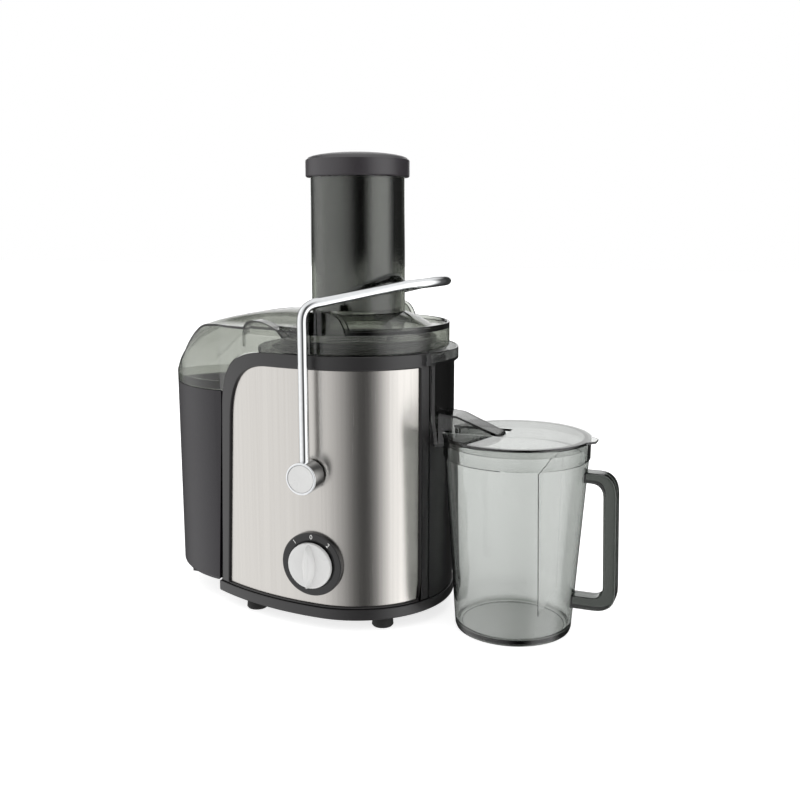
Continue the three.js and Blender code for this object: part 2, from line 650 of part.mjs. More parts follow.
// ---------------------------------------------------------------- juice collector
// A cup with a collar round the drive, a rim, and an apron with the spout.
function collectorBowl() {
  const floorZ = WELL_Z + 1;
  const t = BOWL_WALL;
  let bowl = lathe([
    [HUB_R, floorZ],
    [BOWL_R, floorZ],
    [BOWL_R, RIM_TOP_Z],
    [BOWL_R - t, RIM_TOP_Z],
    [BOWL_R - t, floorZ + t],
    [HUB_R + t, floorZ + t],
    [HUB_R + t, floorZ + 28],
    [HUB_R, floorZ + 28],
  ]);
  const rim = lathe([
    [BOWL_R - 1, DECK_Z + GAP],
    [RIM_R, DECK_Z + GAP],
    [RIM_R, RIM_TOP_Z],
    [RIM_R - t, RIM_TOP_Z],
    [RIM_R - t, DECK_Z + GAP + t],
    [BOWL_R - 1, DECK_Z + GAP + t],
  ]);
  const reach = 2 * RIM_R;
  const frontEnd = TRIM_RIGHT + RUN;
  const front = prismZ(
    shapeOf([
      [0, 0],
      [-reach, -reach * 0.62],
      [-reach, -reach],
      [frontEnd, -reach],
      [frontEnd, 0],
    ]),
    DECK_Z,
    RIM_TOP_Z + 1,
  ).subtract(rodZ(BOWL_R - 0.5, 0, FAR, 0, 0, ROUND));
  bowl = bowl.add(rim.subtract(front));
  const apron = prismX(apronOutline(0), TRIM_RIGHT + RUN, APRON_R + 1)
    .intersect(rodZ(APRON_R, APRON_FOOT_Z - 1, DECK_Z + 2, 0, 0, 64))
    .subtract(rodZ(BOWL_R - 1, APRON_FOOT_Z - 2, DECK_Z + 3, 0, 0, ROUND));
  bowl = bowl.add(apron);
  bowl = bowl.add(spoutShell(0).subtract(rodZ(BOWL_R - 1, 0, FAR, 0, 0, ROUND)));
  return bowl.subtract(spoutShell(t)).subtract(
    block(SPOUT_TIP_X - 22, SPOUT_TIP_X - t, SPOUT_Y - 7, SPOUT_Y + 7, APRON_FOOT_Z - 5, APRON_FOOT_Z + 8),
  );
}

// The spout: a beak that runs down to the right. inset 0 is its outside, more is its channel.
function spoutShell(inset) {
  const root = BOWL_R - 5;
  const side = shapeOf([
    [root, APRON_FOOT_Z + inset],
    [SPOUT_TIP_X - 14, APRON_FOOT_Z + inset + 0.5],
    [SPOUT_TIP_X - inset, APRON_FOOT_Z + inset + 6],
    [SPOUT_TIP_X - inset, JUG_H + 1.5 - inset],
    [BODY_R + 15, WELL_Z + 19.5 - inset],
    [root, WELL_Z + 21.5 - inset],
  ]);
  const half = SPOUT_W / 2 - inset;
  const tipHalf = 10 - inset;
  const plan = shapeOf([
    [root - 1, SPOUT_Y - half],
    [BODY_R + 6, SPOUT_Y - half],
    [SPOUT_TIP_X + 1, SPOUT_Y - tipHalf],
    [SPOUT_TIP_X + 1, SPOUT_Y + tipHalf],
    [BODY_R + 6, SPOUT_Y + half],
    [root - 1, SPOUT_Y + half],
  ]);
  const trimBackY = RUN - Math.sqrt((BODY_R - TRIM_T) ** 2 - TRIM_RIGHT ** 2);
  const trimEnd = block(0, TRIM_RIGHT + RUN, -BODY_R, trimBackY, 0, FAR);
  return prismY(side, -FAR, FAR).intersect(prismZ(plan, 0, FAR)).subtract(trimEnd);
}

// ---------------------------------------------------------------- filter basket
const RIM_W = 4;

function basketHub() {
  const skirt = COUPLING_Z + 1;
  return lathe([
    [COUPLING_R + RUN, skirt],
    [HUB_R - 2, skirt],
    [HUB_R - 2, BASKET_Z - 8],
    [BASKET_FOOT_R + 2, BASKET_Z - 8],
    [BASKET_FOOT_R + 2, BASKET_Z - 1],
    [0, BASKET_Z - 1],
    [0, BASKET_Z - 14],
    [COUPLING_R + RUN, BASKET_Z - 14],
  ]);
}

function graterDisc() {
  const z0 = BASKET_Z - 1 + GAP;
  let disc = rodZ(BASKET_FOOT_R - 2, z0, z0 + 1.5, 0, 0, ROUND);
  const rings = [14, 24, 34];
  for (const [n, r] of rings.entries()) {
    const teeth = 6 + 3 * n;
    for (let i = 0; i < teeth; i++) {
      const tooth = block(r, r + 6, -0.8, 0.8, z0 + 1, z0 + 3.5);
      disc = disc.add(tooth.rotate([0, 0, (360 * i) / teeth + 9 * n]));
    }
  }
  return disc;
}

function filterMesh() {
  const t = 1;
  return lathe([
    [BASKET_FOOT_R, BASKET_Z - 1 + GAP],
    [BASKET_FOOT_R + t, BASKET_Z - 1 + GAP],
    [BASKET_R + t, BASKET_TOP_Z],
    [BASKET_R, BASKET_TOP_Z],
  ]);
}

function basketRim() {
  return ringZ(BASKET_R + RIM_W, BASKET_R - 1, BASKET_TOP_Z + GAP, BASKET_TOP_Z + 5);
}

// ---------------------------------------------------------------- lid
const COVER_INSET = 1.5; // cover's front behind the trim's surface
const COVER_RIGHT = -6; // where the pulp cover ends on the round ring
// Handles of the curve from its crest down to its nose: in from the nose, and below the crest.
const CREST_HANDLE = [30, 6.5];
const NOSE_HANDLE = [4.5, 53];
const NOSE_UPRIGHT = 5.7; // upright part of the nose, over the container's rim

function coverSolid(inset) {
  const low = BIN_TOP_Z + GAP;
  const plan = prismZ(bodyPlan(COVER_INSET + inset), low, FAR)
    .intersect(block(-BODY_LEFT + 4, COVER_RIGHT - inset, -FAR, FAR, low, FAR))
    .add(prismZ(binPlan(inset, -BODY_LEFT + 5), low, FAR));
  const side = new THREE.Shape();
  side.moveTo(-BIN_LEFT + inset, low - 1);
  side.lineTo(COVER_RIGHT + 1, low - 1);
  side.lineTo(COVER_RIGHT + 1, CREST_Z - inset);
  side.lineTo(4 - CONE_FOOT_R, CREST_Z - 0.5 - inset);
  const nose = inset - BIN_LEFT;
  const top = CREST_Z - inset;
  side.bezierCurveTo(
    CREST_HANDLE[0] - BIN_LEFT,
    top - CREST_HANDLE[1],
    NOSE_HANDLE[0] + nose,
    top - NOSE_HANDLE[1],
    nose,
    low + NOSE_UPRIGHT,
  );
  const crown = new THREE.Shape();
  const half = BODY_R - 24;
  crown.moveTo(-FAR, low - 1);
  crown.lineTo(FAR, low - 1);
  crown.lineTo(FAR, EDGE_Z - inset);
  crown.lineTo(half, EDGE_Z - inset);
  crown.bezierCurveTo(half - 26, EDGE_Z + 3 - inset, half - 32, CREST_Z - inset, 0, CREST_Z - inset);
  crown.bezierCurveTo(32 - half, CREST_Z - inset, 26 - half, EDGE_Z + 3 - inset, -half, EDGE_Z - inset);
  crown.lineTo(-FAR, EDGE_Z - inset);
  return plan.intersect(prismY(side, -FAR, FAR)).intersect(prismX(crown, -FAR, 0, 8));
}

// The lid's lower edge runs over the trim and its rounded shoulder.
function underLid() {
  return prismY(trimOutline(LID_FOOT_Z - TRIM_TOP_Z, 0, FAR), -FAR, FAR, 10).subtract(
    block(-FAR, -BODY_LEFT_TOP - 1.6, -FAR, FAR, 0, FAR),
  );
}

function lugBlock() {
  const top = BAIL_TOP_Z - BAIL_ROD_R - 1.6;
  const foot = EDGE_Z - 2;
  let lug = block(CONTROL_X - 5, CONTROL_X + 13, -BODY_R - 2, 16 - BODY_R, foot, top);
  for (const y of [2 - BODY_R, 11 - BODY_R]) {
    const rib = new THREE.Shape();
    rib.moveTo(CONTROL_X + 12, foot);
    rib.lineTo(CONTROL_X + 32, foot);
    rib.quadraticCurveTo(CONTROL_X + 28, top - 1, CONTROL_X + 12, top);
    lug = lug.add(prismY(rib, y, y + 2.4, 6));
  }
  return lug;
}

function lid() {
  const t = LID_WALL;
  const r = LID_R;
  const ringOut = lathe([
    [0, LID_FOOT_Z],
    [r, LID_FOOT_Z],
    [r, LID_RING_TOP_Z],
    [r - t, LID_RING_TOP_Z],
    [r - t - 1, EDGE_Z],
    [CONE_FOOT_R, EDGE_Z],
    [CONE_FOOT_R - 12, CONE_TOP_Z - 4.5],
    [CHUTE_R, CONE_TOP_Z],
    [0, CONE_TOP_Z],
  ]);
  const ringIn = lathe([
    [0, LID_FOOT_Z - 1],
    [r - t, LID_FOOT_Z - 1],
    [r - t, EDGE_Z - t],
    [CONE_FOOT_R - 1, EDGE_Z - t],
    [CONE_FOOT_R - 13, CONE_TOP_Z - 4.5 - t],
    [CHUTE_R - 2, CONE_TOP_Z - t],
    [0, CONE_TOP_Z - t],
  ]);
  let body = coverSolid(0)
    .subtract(underLid())
    .add(ringOut)
    .subtract(coverSolid(t))
    .subtract(coverSolid(t).translate([0, 0, -1]))
    .subtract(ringIn);
  body = body.add(rodZ(CHUTE_R, CHUTE_FOOT_Z, CHUTE_TOP_Z, 0, 0, ROUND));
  const lug = lugBlock().subtract(rodZ(LID_R - 14, 0, FAR, 0, 0, ROUND));
  body = body.add(lug).add(mirrorY(lug));
  return body.subtract(rodZ(CHUTE_R - t, CHUTE_FOOT_Z - 1, CHUTE_TOP_Z + 1, 0, 0, ROUND));
}

// ---------------------------------------------------------------- pusher
function pusherBody() {
  const outer = CHUTE_R - LID_WALL - RUN;
  const inner = outer - PUSHER_WALL;
  return rodZ(outer, PUSHER_FOOT_Z, CAP_Z - GAP, 0, 0, ROUND).subtract(
    rodZ(inner, PUSHER_FOOT_Z + PUSHER_WALL, CAP_Z + 1, 0, 0, ROUND),
  );
}

function pusherCap() {
  const plug = CHUTE_R - LID_WALL - RUN - PUSHER_WALL - GAP;
  const top = CAP_Z + CAP_SIDE_H;
  return lathe([
    [0, CAP_Z - 8],
    [plug, CAP_Z - 8],
    [plug, CAP_Z],
    [CAP_R - 0.8, CAP_Z],
    [CAP_R, CAP_Z + 1],
    [CAP_R, top - 1],
    [CAP_R - 1, top],
    [CAP_R * 0.66, top + CAP_DOME_H * 0.66],
    [CAP_R * 0.33, top + CAP_DOME_H * 0.94],
    [0, CAP_TOP_Z],
  ]);
}

// ---------------------------------------------------------------- pulp container
function binElevation(inset, footZ) {
  return shapeOf([
    [-BIN_LEFT - 5, footZ],
    [-BODY_LEFT - BIN_SLACK - inset, footZ],
    [-BODY_LEFT_TOP - BIN_SLACK - inset, SHOULDER_Z],
    [-BODY_LEFT_TOP - BIN_SLACK - inset, BIN_TOP_Z + 9],
    [-BIN_LEFT - 5, BIN_TOP_Z + 9],
  ]);
}

function pulpContainer() {
  const outer = prismZ(binPlan(0, -BODY_LEFT + 9), BIN_FOOT_Z, BIN_TOP_Z).intersect(
    prismY(binElevation(0, BIN_FOOT_Z), -FAR, FAR),
  );
  const inner = prismZ(binPlan(BIN_WALL, -BODY_LEFT + 9), BIN_FOOT_Z + BIN_WALL, BIN_TOP_Z + 1).intersect(
    prismY(binElevation(BIN_WALL, BIN_FOOT_Z), -FAR, FAR),
  );
  return outer.subtract(inner);
}

// ---------------------------------------------------------------- juice jug
const NOTCH_HALF = SPOUT_W / 2 + 3;
const NOTCH_Z = APRON_FOOT_Z - 3;

function jugRadius(z) {
  return JUG_FOOT_R + ((JUG_R - JUG_FOOT_R) * z) / JUG_H;
}

function handleOutline() {
  const x0 = JUG_X + jugRadius(HANDLE_TOP_Z) - 1;
  const x1 = JUG_X + jugRadius(HANDLE_FOOT_Z) - 1;
  const top = HANDLE_TOP_Z;
  const foot = HANDLE_FOOT_Z;
  const t = HANDLE_T;
  const outline = new THREE.Shape();
  outline.moveTo(x1, foot);
  outline.lineTo(HANDLE_X - HANDLE_BEND, foot);
  outline.quadraticCurveTo(HANDLE_X, foot, HANDLE_X, foot + HANDLE_BEND);
  outline.lineTo(HANDLE_X - 3, top - HANDLE_BEND);
  outline.quadraticCurveTo(HANDLE_X - 3, top, HANDLE_X - 3 - HANDLE_BEND, top);
  outline.lineTo(x0, top);
  outline.lineTo(x0, top - t + 2);
  outline.lineTo(HANDLE_X - 3 - HANDLE_BEND, top - t + 2);
  outline.quadraticCurveTo(HANDLE_X - 3 - t, top - t + 2, HANDLE_X - 3 - t, top - HANDLE_BEND - 4);
  outline.lineTo(HANDLE_X - t, foot + HANDLE_BEND + 2);
  outline.quadraticCurveTo(HANDLE_X - t, foot + t, HANDLE_X - HANDLE_BEND - 4, foot + t);
  outline.lineTo(x1, foot + t);
  return outline;
}

function juiceJug() {
  const t = JUG_WALL;
  const band = JUG_H - 16.5; // foot of the thicker band under the rim
  const outer = lathe([
    [0, 1.5],
    [JUG_FOOT_R - 6, 1.5],
    [JUG_FOOT_R - 5, 0],
    [JUG_FOOT_R - 1.5, 0],
    [JUG_FOOT_R, 1.5],
    [jugRadius(band), band],
    [jugRadius(band) + 1, band + 1],
    [JUG_R, JUG_H],
    [0, JUG_H],
  ]);
  const inner = lathe([
    [0, 4.5],
    [jugRadius(4) - t - 3, 4.5],
    [jugRadius(7) - t, 7.5],
    [JUG_R - t, JUG_H],
    [JUG_R - t, JUG_H + 1],
    [0, JUG_H + 1],
  ]);
  const handle = prismY(handleOutline(), -HANDLE_W / 2, HANDLE_W / 2, 6)
    .translate([-JUG_X, 0, 0])
    .subtract(rodZ(JUG_FOOT_R - 2, 0, JUG_H, 0, 0, ROUND));
  const notch = block(-JUG_R - 5, -20, -NOTCH_HALF, NOTCH_HALF, NOTCH_Z, JUG_H + 5);
  return outer.add(handle).subtract(inner).subtract(notch).translate([JUG_X, SPOUT_Y, 0]);
}

// Plate that holds the froth back when the juice is poured.
function frothSeparator() {
  const away = 30;
  const t = 2;
  const foot = 26;
  const top = JUG_H - 18.5;
  const half = (z) => Math.sqrt((jugRadius(z) - JUG_WALL - RUN) ** 2 - (away + t) ** 2);
  const plate = shapeOf([
    [-half(foot), foot],
    [half(foot), foot],
    [half(top), top],
    [-half(top), top],
  ]);
  return prismX(plate, JUG_X + away, JUG_X + away + t).translate([0, SPOUT_Y, 0]);
}

function jugLid() {
  const z0 = JUG_H + GAP;
  const t = 2;
  const rim = JUG_R + 0.8;
  const plugH = 6;
  const plug = jugRadius(JUG_H - plugH) - JUG_WALL - RUN;
  const disc = lathe([
    [0, z0],
    [plug - t, z0],
    [plug - t, z0 - plugH],
    [plug, z0 - plugH],
    [plug, z0],
    [rim, z0],
    [rim, z0 + t],
    [0, z0 + t],
  ]);
  const tab = prismZ(
    shapeOf([
      [rim - 3, -14],
      [rim + 5, -6],
      [rim + 5, 6],
      [rim - 3, 14],
    ]),
    z0,
    z0 + t,
  );
  const notchTip = SPOUT_TIP_X - JUG_X + 4;
  const notch = block(-rim - 5, notchTip, -NOTCH_HALF, NOTCH_HALF, z0 - 20, z0 + 20);
  return disc.add(tab).subtract(notch).translate([JUG_X, SPOUT_Y, 0]);
}

// ---------------------------------------------------------------- the assembly
const FINISH = {
  blackPlastic: { color: 0x2b2a2c, roughness: 0.42, metalness: 0 },
  darkPlastic: { color: 0x39363b, roughness: 0.35, metalness: 0 },
  steel: { color: 0xd6d4d0, roughness: 0.32, metalness: 1 },
  chrome: { color: 0xe6e6e6, roughness: 0.08, metalness: 1 },
  silver: { color: 0xd8d8d6, roughness: 0.3, metalness: 0.6 },
  smoke: { color: 0x8f9690, roughness: 0.08, metalness: 0 },
  rubber: { color: 0x1c1c1c, roughness: 0.85, metalness: 0 },
  lamination: { color: 0x6d6f72, roughness: 0.55, metalness: 0.8 },
  copper: { color: 0xb06a3b, roughness: 0.4, metalness: 0.9 },
  board: { color: 0x2d5a3a, roughness: 0.6, metalness: 0 },
};

function piece(name, body, finish) {
  const mesh = new THREE.Mesh(geometryOf(body), new THREE.MeshStandardMaterial(FINISH[finish]));
  mesh.name = name;
  return mesh;
}

const motorUnit = new THREE.Group().add(
  piece("motor_housing", motorHousing(), "blackPlastic"),
  piece("front_trim", frontTrim(), "blackPlastic"),
  piece("front_panel", frontPanel(), "steel"),
  piece("base_cover", baseCover(), "blackPlastic"),
  piece("cord_gland", cordGland(), "rubber"),
  piece("motor_stator", motorStator(), "lamination"),
  piece("field_coil_front", fieldCoil(-1), "copper"),
  piece("field_coil_rear", fieldCoil(1), "copper"),
  piece("motor_top_bracket", bearingBracket(BRACKET_Z, UPPER_BEARING_Z), "lamination"),
  piece("motor_bottom_bracket", bearingBracket(LOWER_BEARING_Z + 2, LOWER_BEARING_Z), "lamination"),
  piece("motor_mount_front", motorMount(-1), "rubber"),
  piece("motor_mount_rear", motorMount(1), "rubber"),
  piece("brush_holder_left", brushHolder(-1), "copper"),
  piece("brush_holder_right", brushHolder(1), "copper"),
  piece("upper_bearing", bearing(UPPER_BEARING_Z), "steel"),
  piece("lower_bearing", bearing(LOWER_BEARING_Z), "steel"),
  piece("shaft_seal", shaftSeal(), "rubber"),
  piece("dial_ring", dialRing(), "blackPlastic"),
  piece("speed_switch", speedSwitch(), "darkPlastic"),
  piece("control_board", controlBoard(), "board"),
  piece("interlock_switch", interlockSwitch(), "darkPlastic"),
  piece("pivot_bush_front", pivotBush(), "silver"),
  piece("pivot_bush_rear", mirrorY(pivotBush()), "silver"),
);
const corners = ["front_left", "front_right", "rear_left", "rear_right"];
for (const [i, [x, y]] of FEET.entries()) {
  motorUnit.add(piece("foot_" + corners[i], foot(x, y), "rubber"));
  motorUnit.add(piece("foot_screw_" + corners[i], footScrew(x, y), "steel"));
}

const rotor = new THREE.Group().add(
  piece("motor_shaft", motorShaft(), "steel"),
  piece("armature_core", armatureCore(), "lamination"),
  piece("commutator", commutator(), "copper"),
  piece("cooling_fan", coolingFan(), "darkPlastic"),
  piece("drive_coupling", driveCoupling(), "darkPlastic"),
  piece("basket_hub", basketHub(), "darkPlastic"),
  piece("grater_disc", graterDisc(), "steel"),
  piece("filter_mesh", filterMesh(), "steel"),
  piece("basket_rim", basketRim(), "darkPlastic"),
);

const knob = new THREE.Group().add(
  piece("speed_knob", speedKnob(), "silver"),
  piece("knob_spindle", knobSpindle(), "steel"),
);

const bail = new THREE.Group().add(
  piece("bail_rod", bailRod(), "chrome"),
  piece("pivot_knob_front", pivotKnob(), "silver"),
  piece("pivot_knob_rear", mirrorY(pivotKnob()), "silver"),
  piece("pivot_pin_front", pivotPin(), "steel"),
  piece("pivot_pin_rear", mirrorY(pivotPin()), "steel"),
  piece("interlock_cam", interlockCam(), "darkPlastic"),
);

const top = new THREE.Group().add(
  piece("collector_bowl", collectorBowl(), "darkPlastic"),
  piece("lid", lid(), "smoke"),
  piece("pusher_body", pusherBody(), "darkPlastic"),
  piece("pusher_cap", pusherCap(), "blackPlastic"),
  piece("pulp_container", pulpContainer(), "darkPlastic"),
);

const jug = new THREE.Group().add(
  piece("juice_jug", juiceJug(), "smoke"),
  piece("froth_separator", frothSeparator(), "smoke"),
  piece("jug_lid", jugLid(), "smoke"),
);

const juicer = new THREE.Group().add(motorUnit, rotor, knob, bail, top, jug);
juicer.position.set(-CENTRE_X, 0, 0);

export default juicer;
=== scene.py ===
# Centrifugal juicer: steel-fronted motor unit, smoke-clear lid and jug, chromed locking bail.
# The sections follow the juicer as it is put together. Lengths are in metres, +Z is up, -Y is the front.
import json
import math

import bmesh
import bpy
from mathutils import Matrix, Vector


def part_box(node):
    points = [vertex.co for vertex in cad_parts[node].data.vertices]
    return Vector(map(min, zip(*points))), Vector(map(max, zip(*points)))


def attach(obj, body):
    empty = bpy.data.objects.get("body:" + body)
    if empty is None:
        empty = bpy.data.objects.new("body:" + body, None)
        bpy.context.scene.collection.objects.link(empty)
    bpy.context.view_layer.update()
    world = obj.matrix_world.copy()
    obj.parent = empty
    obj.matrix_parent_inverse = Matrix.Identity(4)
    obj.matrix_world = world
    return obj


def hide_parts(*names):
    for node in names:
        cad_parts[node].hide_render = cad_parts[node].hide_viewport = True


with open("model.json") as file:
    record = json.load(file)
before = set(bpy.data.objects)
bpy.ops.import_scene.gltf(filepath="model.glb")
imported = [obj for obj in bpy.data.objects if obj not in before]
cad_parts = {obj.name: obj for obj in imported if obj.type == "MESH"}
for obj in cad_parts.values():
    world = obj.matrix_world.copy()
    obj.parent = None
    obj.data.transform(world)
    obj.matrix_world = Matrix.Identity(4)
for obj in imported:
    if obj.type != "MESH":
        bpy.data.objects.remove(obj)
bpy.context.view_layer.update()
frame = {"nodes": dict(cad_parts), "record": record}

MM = 0.001

# ---------------------------------------------------------------- studio
# A seamless white floor under a soft light dome: a wide soft light on the left, a narrower brighter
# one on the right, and a dark gap between them that polished and brushed surfaces show.
def linear(hex_colour):
    """sRGB hex to the linear RGBA that shader sockets take."""
    channels = [int(hex_colour[i : i + 2], 16) / 255 for i in (0, 2, 4)]
    return [c / 12.92 if c <= 0.04045 else ((c + 0.055) / 1.055) ** 2.4 for c in channels] + [1.0]


def add_node(tree, kind, inputs=None, **settings):
    """Adds a node, sets its properties, and fills each named or numbered input with a value or a link."""
    made = tree.nodes.new(kind)
    for name, value in settings.items():
        setattr(made, name, value)
    for socket, value in (inputs or {}).items():
        if isinstance(value, bpy.types.NodeSocket):
            tree.links.new(value, made.inputs[socket])
        else:
            made.inputs[socket].default_value = value
    return made


def light_dome():
    world = bpy.data.worlds.new("studio_dome")
    bpy.context.scene.world = world
    world.use_nodes = True
    tree = world.node_tree
    tree.nodes.clear()
    direction = add_node(tree, "ShaderNodeTexCoord").outputs["Generated"]
    axes = add_node(tree, "ShaderNodeSeparateXYZ", {0: direction}).outputs
    back = add_node(tree, "ShaderNodeMath", {0: axes["Y"], 1: -1.0}, operation="MULTIPLY").outputs[0]
    turn = add_node(tree, "ShaderNodeMath", {0: axes["X"], 1: back}, operation="ARCTAN2").outputs[0]
    share = add_node(tree, "ShaderNodeMapRange", {0: turn, 1: -math.pi, 2: math.pi}).outputs[0]
    ring = add_node(tree, "ShaderNodeValToRGB", {0: share})
    # degrees round the juicer from the front, towards the jug, and the light that comes from there
    lamps = [(-180, 0.04), (-132, 0.04), (-116, 0.20), (-98, 1.00), (-80, 1.40), (-40, 1.30)]
    lamps += [(-18, 1.05), (2, 0.60)]
    lamps += [(15, 0.20), (24, 0.05), (36, 0.05), (46, 0.45), (60, 1.55), (78, 2.00), (98, 1.90)]
    lamps += [(112, 0.75), (122, 0.15), (150, 0.05), (180, 0.05)]
    brightest = 2.0
    backdrop_way = (-0.36, 0.92, 0.15)
    ramp = ring.color_ramp
    ramp.interpolation = "LINEAR"
    while len(ramp.elements) < len(lamps):
        ramp.elements.new(0.5)
    for element, (degrees, light) in zip(ramp.elements, lamps):
        element.position = (degrees + 180) / 360
        element.color = [light / brightest] * 3 + [1]
    side = {0: ring.outputs[0], 1: brightest}
    side = add_node(tree, "ShaderNodeMath", side, operation="MULTIPLY").outputs[0]
    # the lit backdrop behind the juicer, above the table's horizon
    away = {0: direction, 1: backdrop_way}
    away = add_node(tree, "ShaderNodeVectorMath", away, operation="DOT_PRODUCT").outputs["Value"]
    near = {0: away, 1: 0.90, 2: 0.955}
    near = add_node(tree, "ShaderNodeMapRange", near, interpolation_type="SMOOTHSTEP").outputs[0]
    above = {0: axes["Z"], 1: -0.03, 2: 0.03}
    above = add_node(tree, "ShaderNodeMapRange", above, interpolation_type="SMOOTHSTEP").outputs[0]
    backdrop = add_node(tree, "ShaderNodeMath", {0: near, 1: above}, operation="MULTIPLY").outputs[0]
    level = add_node(tree, "ShaderNodeMix", {0: backdrop, 2: side, 3: 1.15}).outputs[0]
    height = {0: axes["Z"], 1: 0.45, 2: 0.85}
    height = add_node(tree, "ShaderNodeMapRange", height, interpolation_type="SMOOTHSTEP").outputs[0]
    whole = add_node(tree, "ShaderNodeMix", {0: height, 2: level, 3: 1.1}).outputs[0]
    seen = add_node(tree, "ShaderNodeLightPath").outputs["Is Camera Ray"]
    strength = add_node(tree, "ShaderNodeMix", {0: seen, 2: whole, 3: 1.0}).outputs[0]
    lit = add_node(tree, "ShaderNodeBackground", {"Color": linear("ffffff"), "Strength": strength})
    add_node(tree, "ShaderNodeOutputWorld", {0: lit.outputs[0]})


light_dome()
bpy.context.scene.view_settings.view_transform = "Standard"

bpy.ops.mesh.primitive_plane_add(size=14, location=(0, 0, 0))
floor = bpy.context.object
floor.name = "studio_floor"
floor.visible_glossy = False
floor_paint = bpy.data.materials.new("white_floor")
floor_paint.use_nodes = True
floor_paint.node_tree.nodes.clear()
floor_face = add_node(
    floor_paint.node_tree,
    "ShaderNodeBsdfPrincipled",
    {
        "Base Color": linear("dcdcdc"),
        "Roughness": 0.9,
        "Emission Color": linear("ffffff"),
        "Emission Strength": 0.75,
    },
)
add_node(floor_paint.node_tree, "ShaderNodeOutputMaterial", {0: floor_face.outputs[0]})
floor.data.materials.append(floor_paint)

camera = bpy.data.objects.new("studio_camera", bpy.data.cameras.new("studio_camera"))
bpy.context.scene.collection.objects.link(camera)
camera.data.lens = 43.97
camera.data.clip_start = 0.05
camera.location = (0.3276, -0.8048, 0.3446)
aim = Vector((0.0086, 0.0135, 0.1882)) - camera.location
camera.rotation_euler = aim.to_track_quat("-Z", "Y").to_euler()
bpy.context.scene.camera = camera


# ---------------------------------------------------------------- motor housing
# One-piece shell of black ABS, injection moulded with a fine spark texture. The trim and the panel
# are let into its front, and the well for the juice collector is moulded into its top.
# Shapes are drawn in millimetres about the motor axis: x to the jug, y to the back, z up.
AXIS_X = sum(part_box("motor_shaft"), Vector()).x / 2
GAP = 0.3    # between pieces that touch
RUN = 0.5    # round a piece that slides or turns
FAR = 400    # past every piece, for cuts that run right through


def limits(node):
    """A node's lowest and highest corner, in millimetres about the motor axis."""
    return [(corner - Vector((AXIS_X, 0, 0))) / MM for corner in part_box(node)]


def spot(x, y, z):
    """Millimetres about the motor axis to metres in the frame."""
    return Vector((x * MM + AXIS_X, y * MM, z * MM))


def arc(centre, radius, start, end, steps):
    """Points of an arc between two angles in degrees, both ends included."""
    turns = [math.radians(start + (end - start) * i / steps) for i in range(steps + 1)]
    return [(centre[0] + radius * math.cos(a), centre[1] + radius * math.sin(a)) for a in turns]


def bezier(start, pull_start, pull_end, end, steps=24):
    """Points of a cubic curve, without its start."""
    points = []
    for i in range(1, steps + 1):
        t = i / steps
        share = ((1 - t) ** 3, 3 * t * (1 - t) ** 2, 3 * t * t * (1 - t), t**3)
        whole = zip(start, pull_start, pull_end, end)
        points.append(tuple(sum(w * c for w, c in zip(share, axis)) for axis in whole))
    return points


def solid_of(work):
    """A closed bmesh as a new object, with its faces turned outwards."""
    bmesh.ops.recalc_face_normals(work, faces=work.faces)
    mesh = bpy.data.meshes.new("shape")
    work.to_mesh(mesh)
    work.free()
    solid = bpy.data.objects.new("shape", mesh)
    bpy.context.scene.collection.objects.link(solid)
    return solid


def loft(rings):
    """A solid skinned over rings of points, closed flat at both ends; a ring may be one point."""
    work = bmesh.new()
    rows = [[work.verts.new(spot(*point)) for point in ring] for ring in rings]
    for low, high in zip(rows, rows[1:]):
        count = max(len(low), len(high))
        for i in range(count):
            j = (i + 1) % count
            corners = [low[i % len(low)], low[j % len(low)], high[j % len(high)], high[i % len(high)]]
            work.faces.new(list(dict.fromkeys(corners)))
    for row in (rows[0], rows[-1]):
        if len(row) > 2:
            work.faces.new(row)
    return solid_of(work)


def prism(outline, along, start, end):
    """A straight solid: an (x, y) outline along Z, an (x, z) one along Y, or a (y, z) one along X."""
    order = {"Z": (0, 1, 2), "Y": (0, 2, 1), "X": (2, 0, 1)}[along]
    rings = [[[(a, b, h)[k] for k in order] for a, b in outline] for h in (start, end)]
    return loft(rings)


def block(x0, x1, y0, y1, z0, z1):
    return prism([(x0, y0), (x1, y0), (x1, y1), (x0, y1)], "Z", z0, z1)


def rounded(points, radius, steps=4, ends=True):
    """The line with its corners rounded; ends=False leaves the first and last point alone."""
    made = []
    count = len(points)
    for i, corner in enumerate(points):
        if not ends and i in (0, count - 1):
            made.append(tuple(corner))
            continue
        here = Vector(corner)
        before = Vector(points[i - 1]) - here
        after = Vector(points[(i + 1) % count]) - here
        a = here + before.normalized() * min(radius, before.length / 2)
        b = here + after.normalized() * min(radius, after.length / 2)
        for k in range(steps + 1):
            t = k / steps
            made.append(tuple(a * (1 - t) ** 2 + here * (2 * t * (1 - t)) + b * t * t))
    return made


def turned(profile, centre=(0, 0), along="Z", sides=96):
    """A profile of (radius, height) points turned about an upright axis, or one from front to back.

    A profile that touches the axis at both ends is a full solid; any other is a ring.
    """
    rings = []
    full = profile[0][0] == 0 and profile[-1][0] == 0
    for radius, height in profile:
        row = []
        for i in range(sides if radius > 0 else 1):
            a = 2 * math.pi * i / sides
            across, up = centre[0] + radius * math.cos(a), centre[1] + radius * math.sin(a)
            row.append((across, up, height) if along == "Z" else (across, height, up))
        rings.append(row)
    if full:
        return loft(rings)
    work = bmesh.new()
    rows = [[work.verts.new(spot(*point)) for point in ring] for ring in rings]
    for low, high in zip(rows, rows[1:] + rows[:1]):
        for i in range(sides):
            j = (i + 1) % sides
            work.faces.new((low[i], low[j], high[j], high[i]))
    return solid_of(work)


def rod(radius, start, end, centre=(0, 0), along="Z", sides=64):
    return turned([(0, start), (radius, start), (radius, end), (0, end)], centre, along, sides)


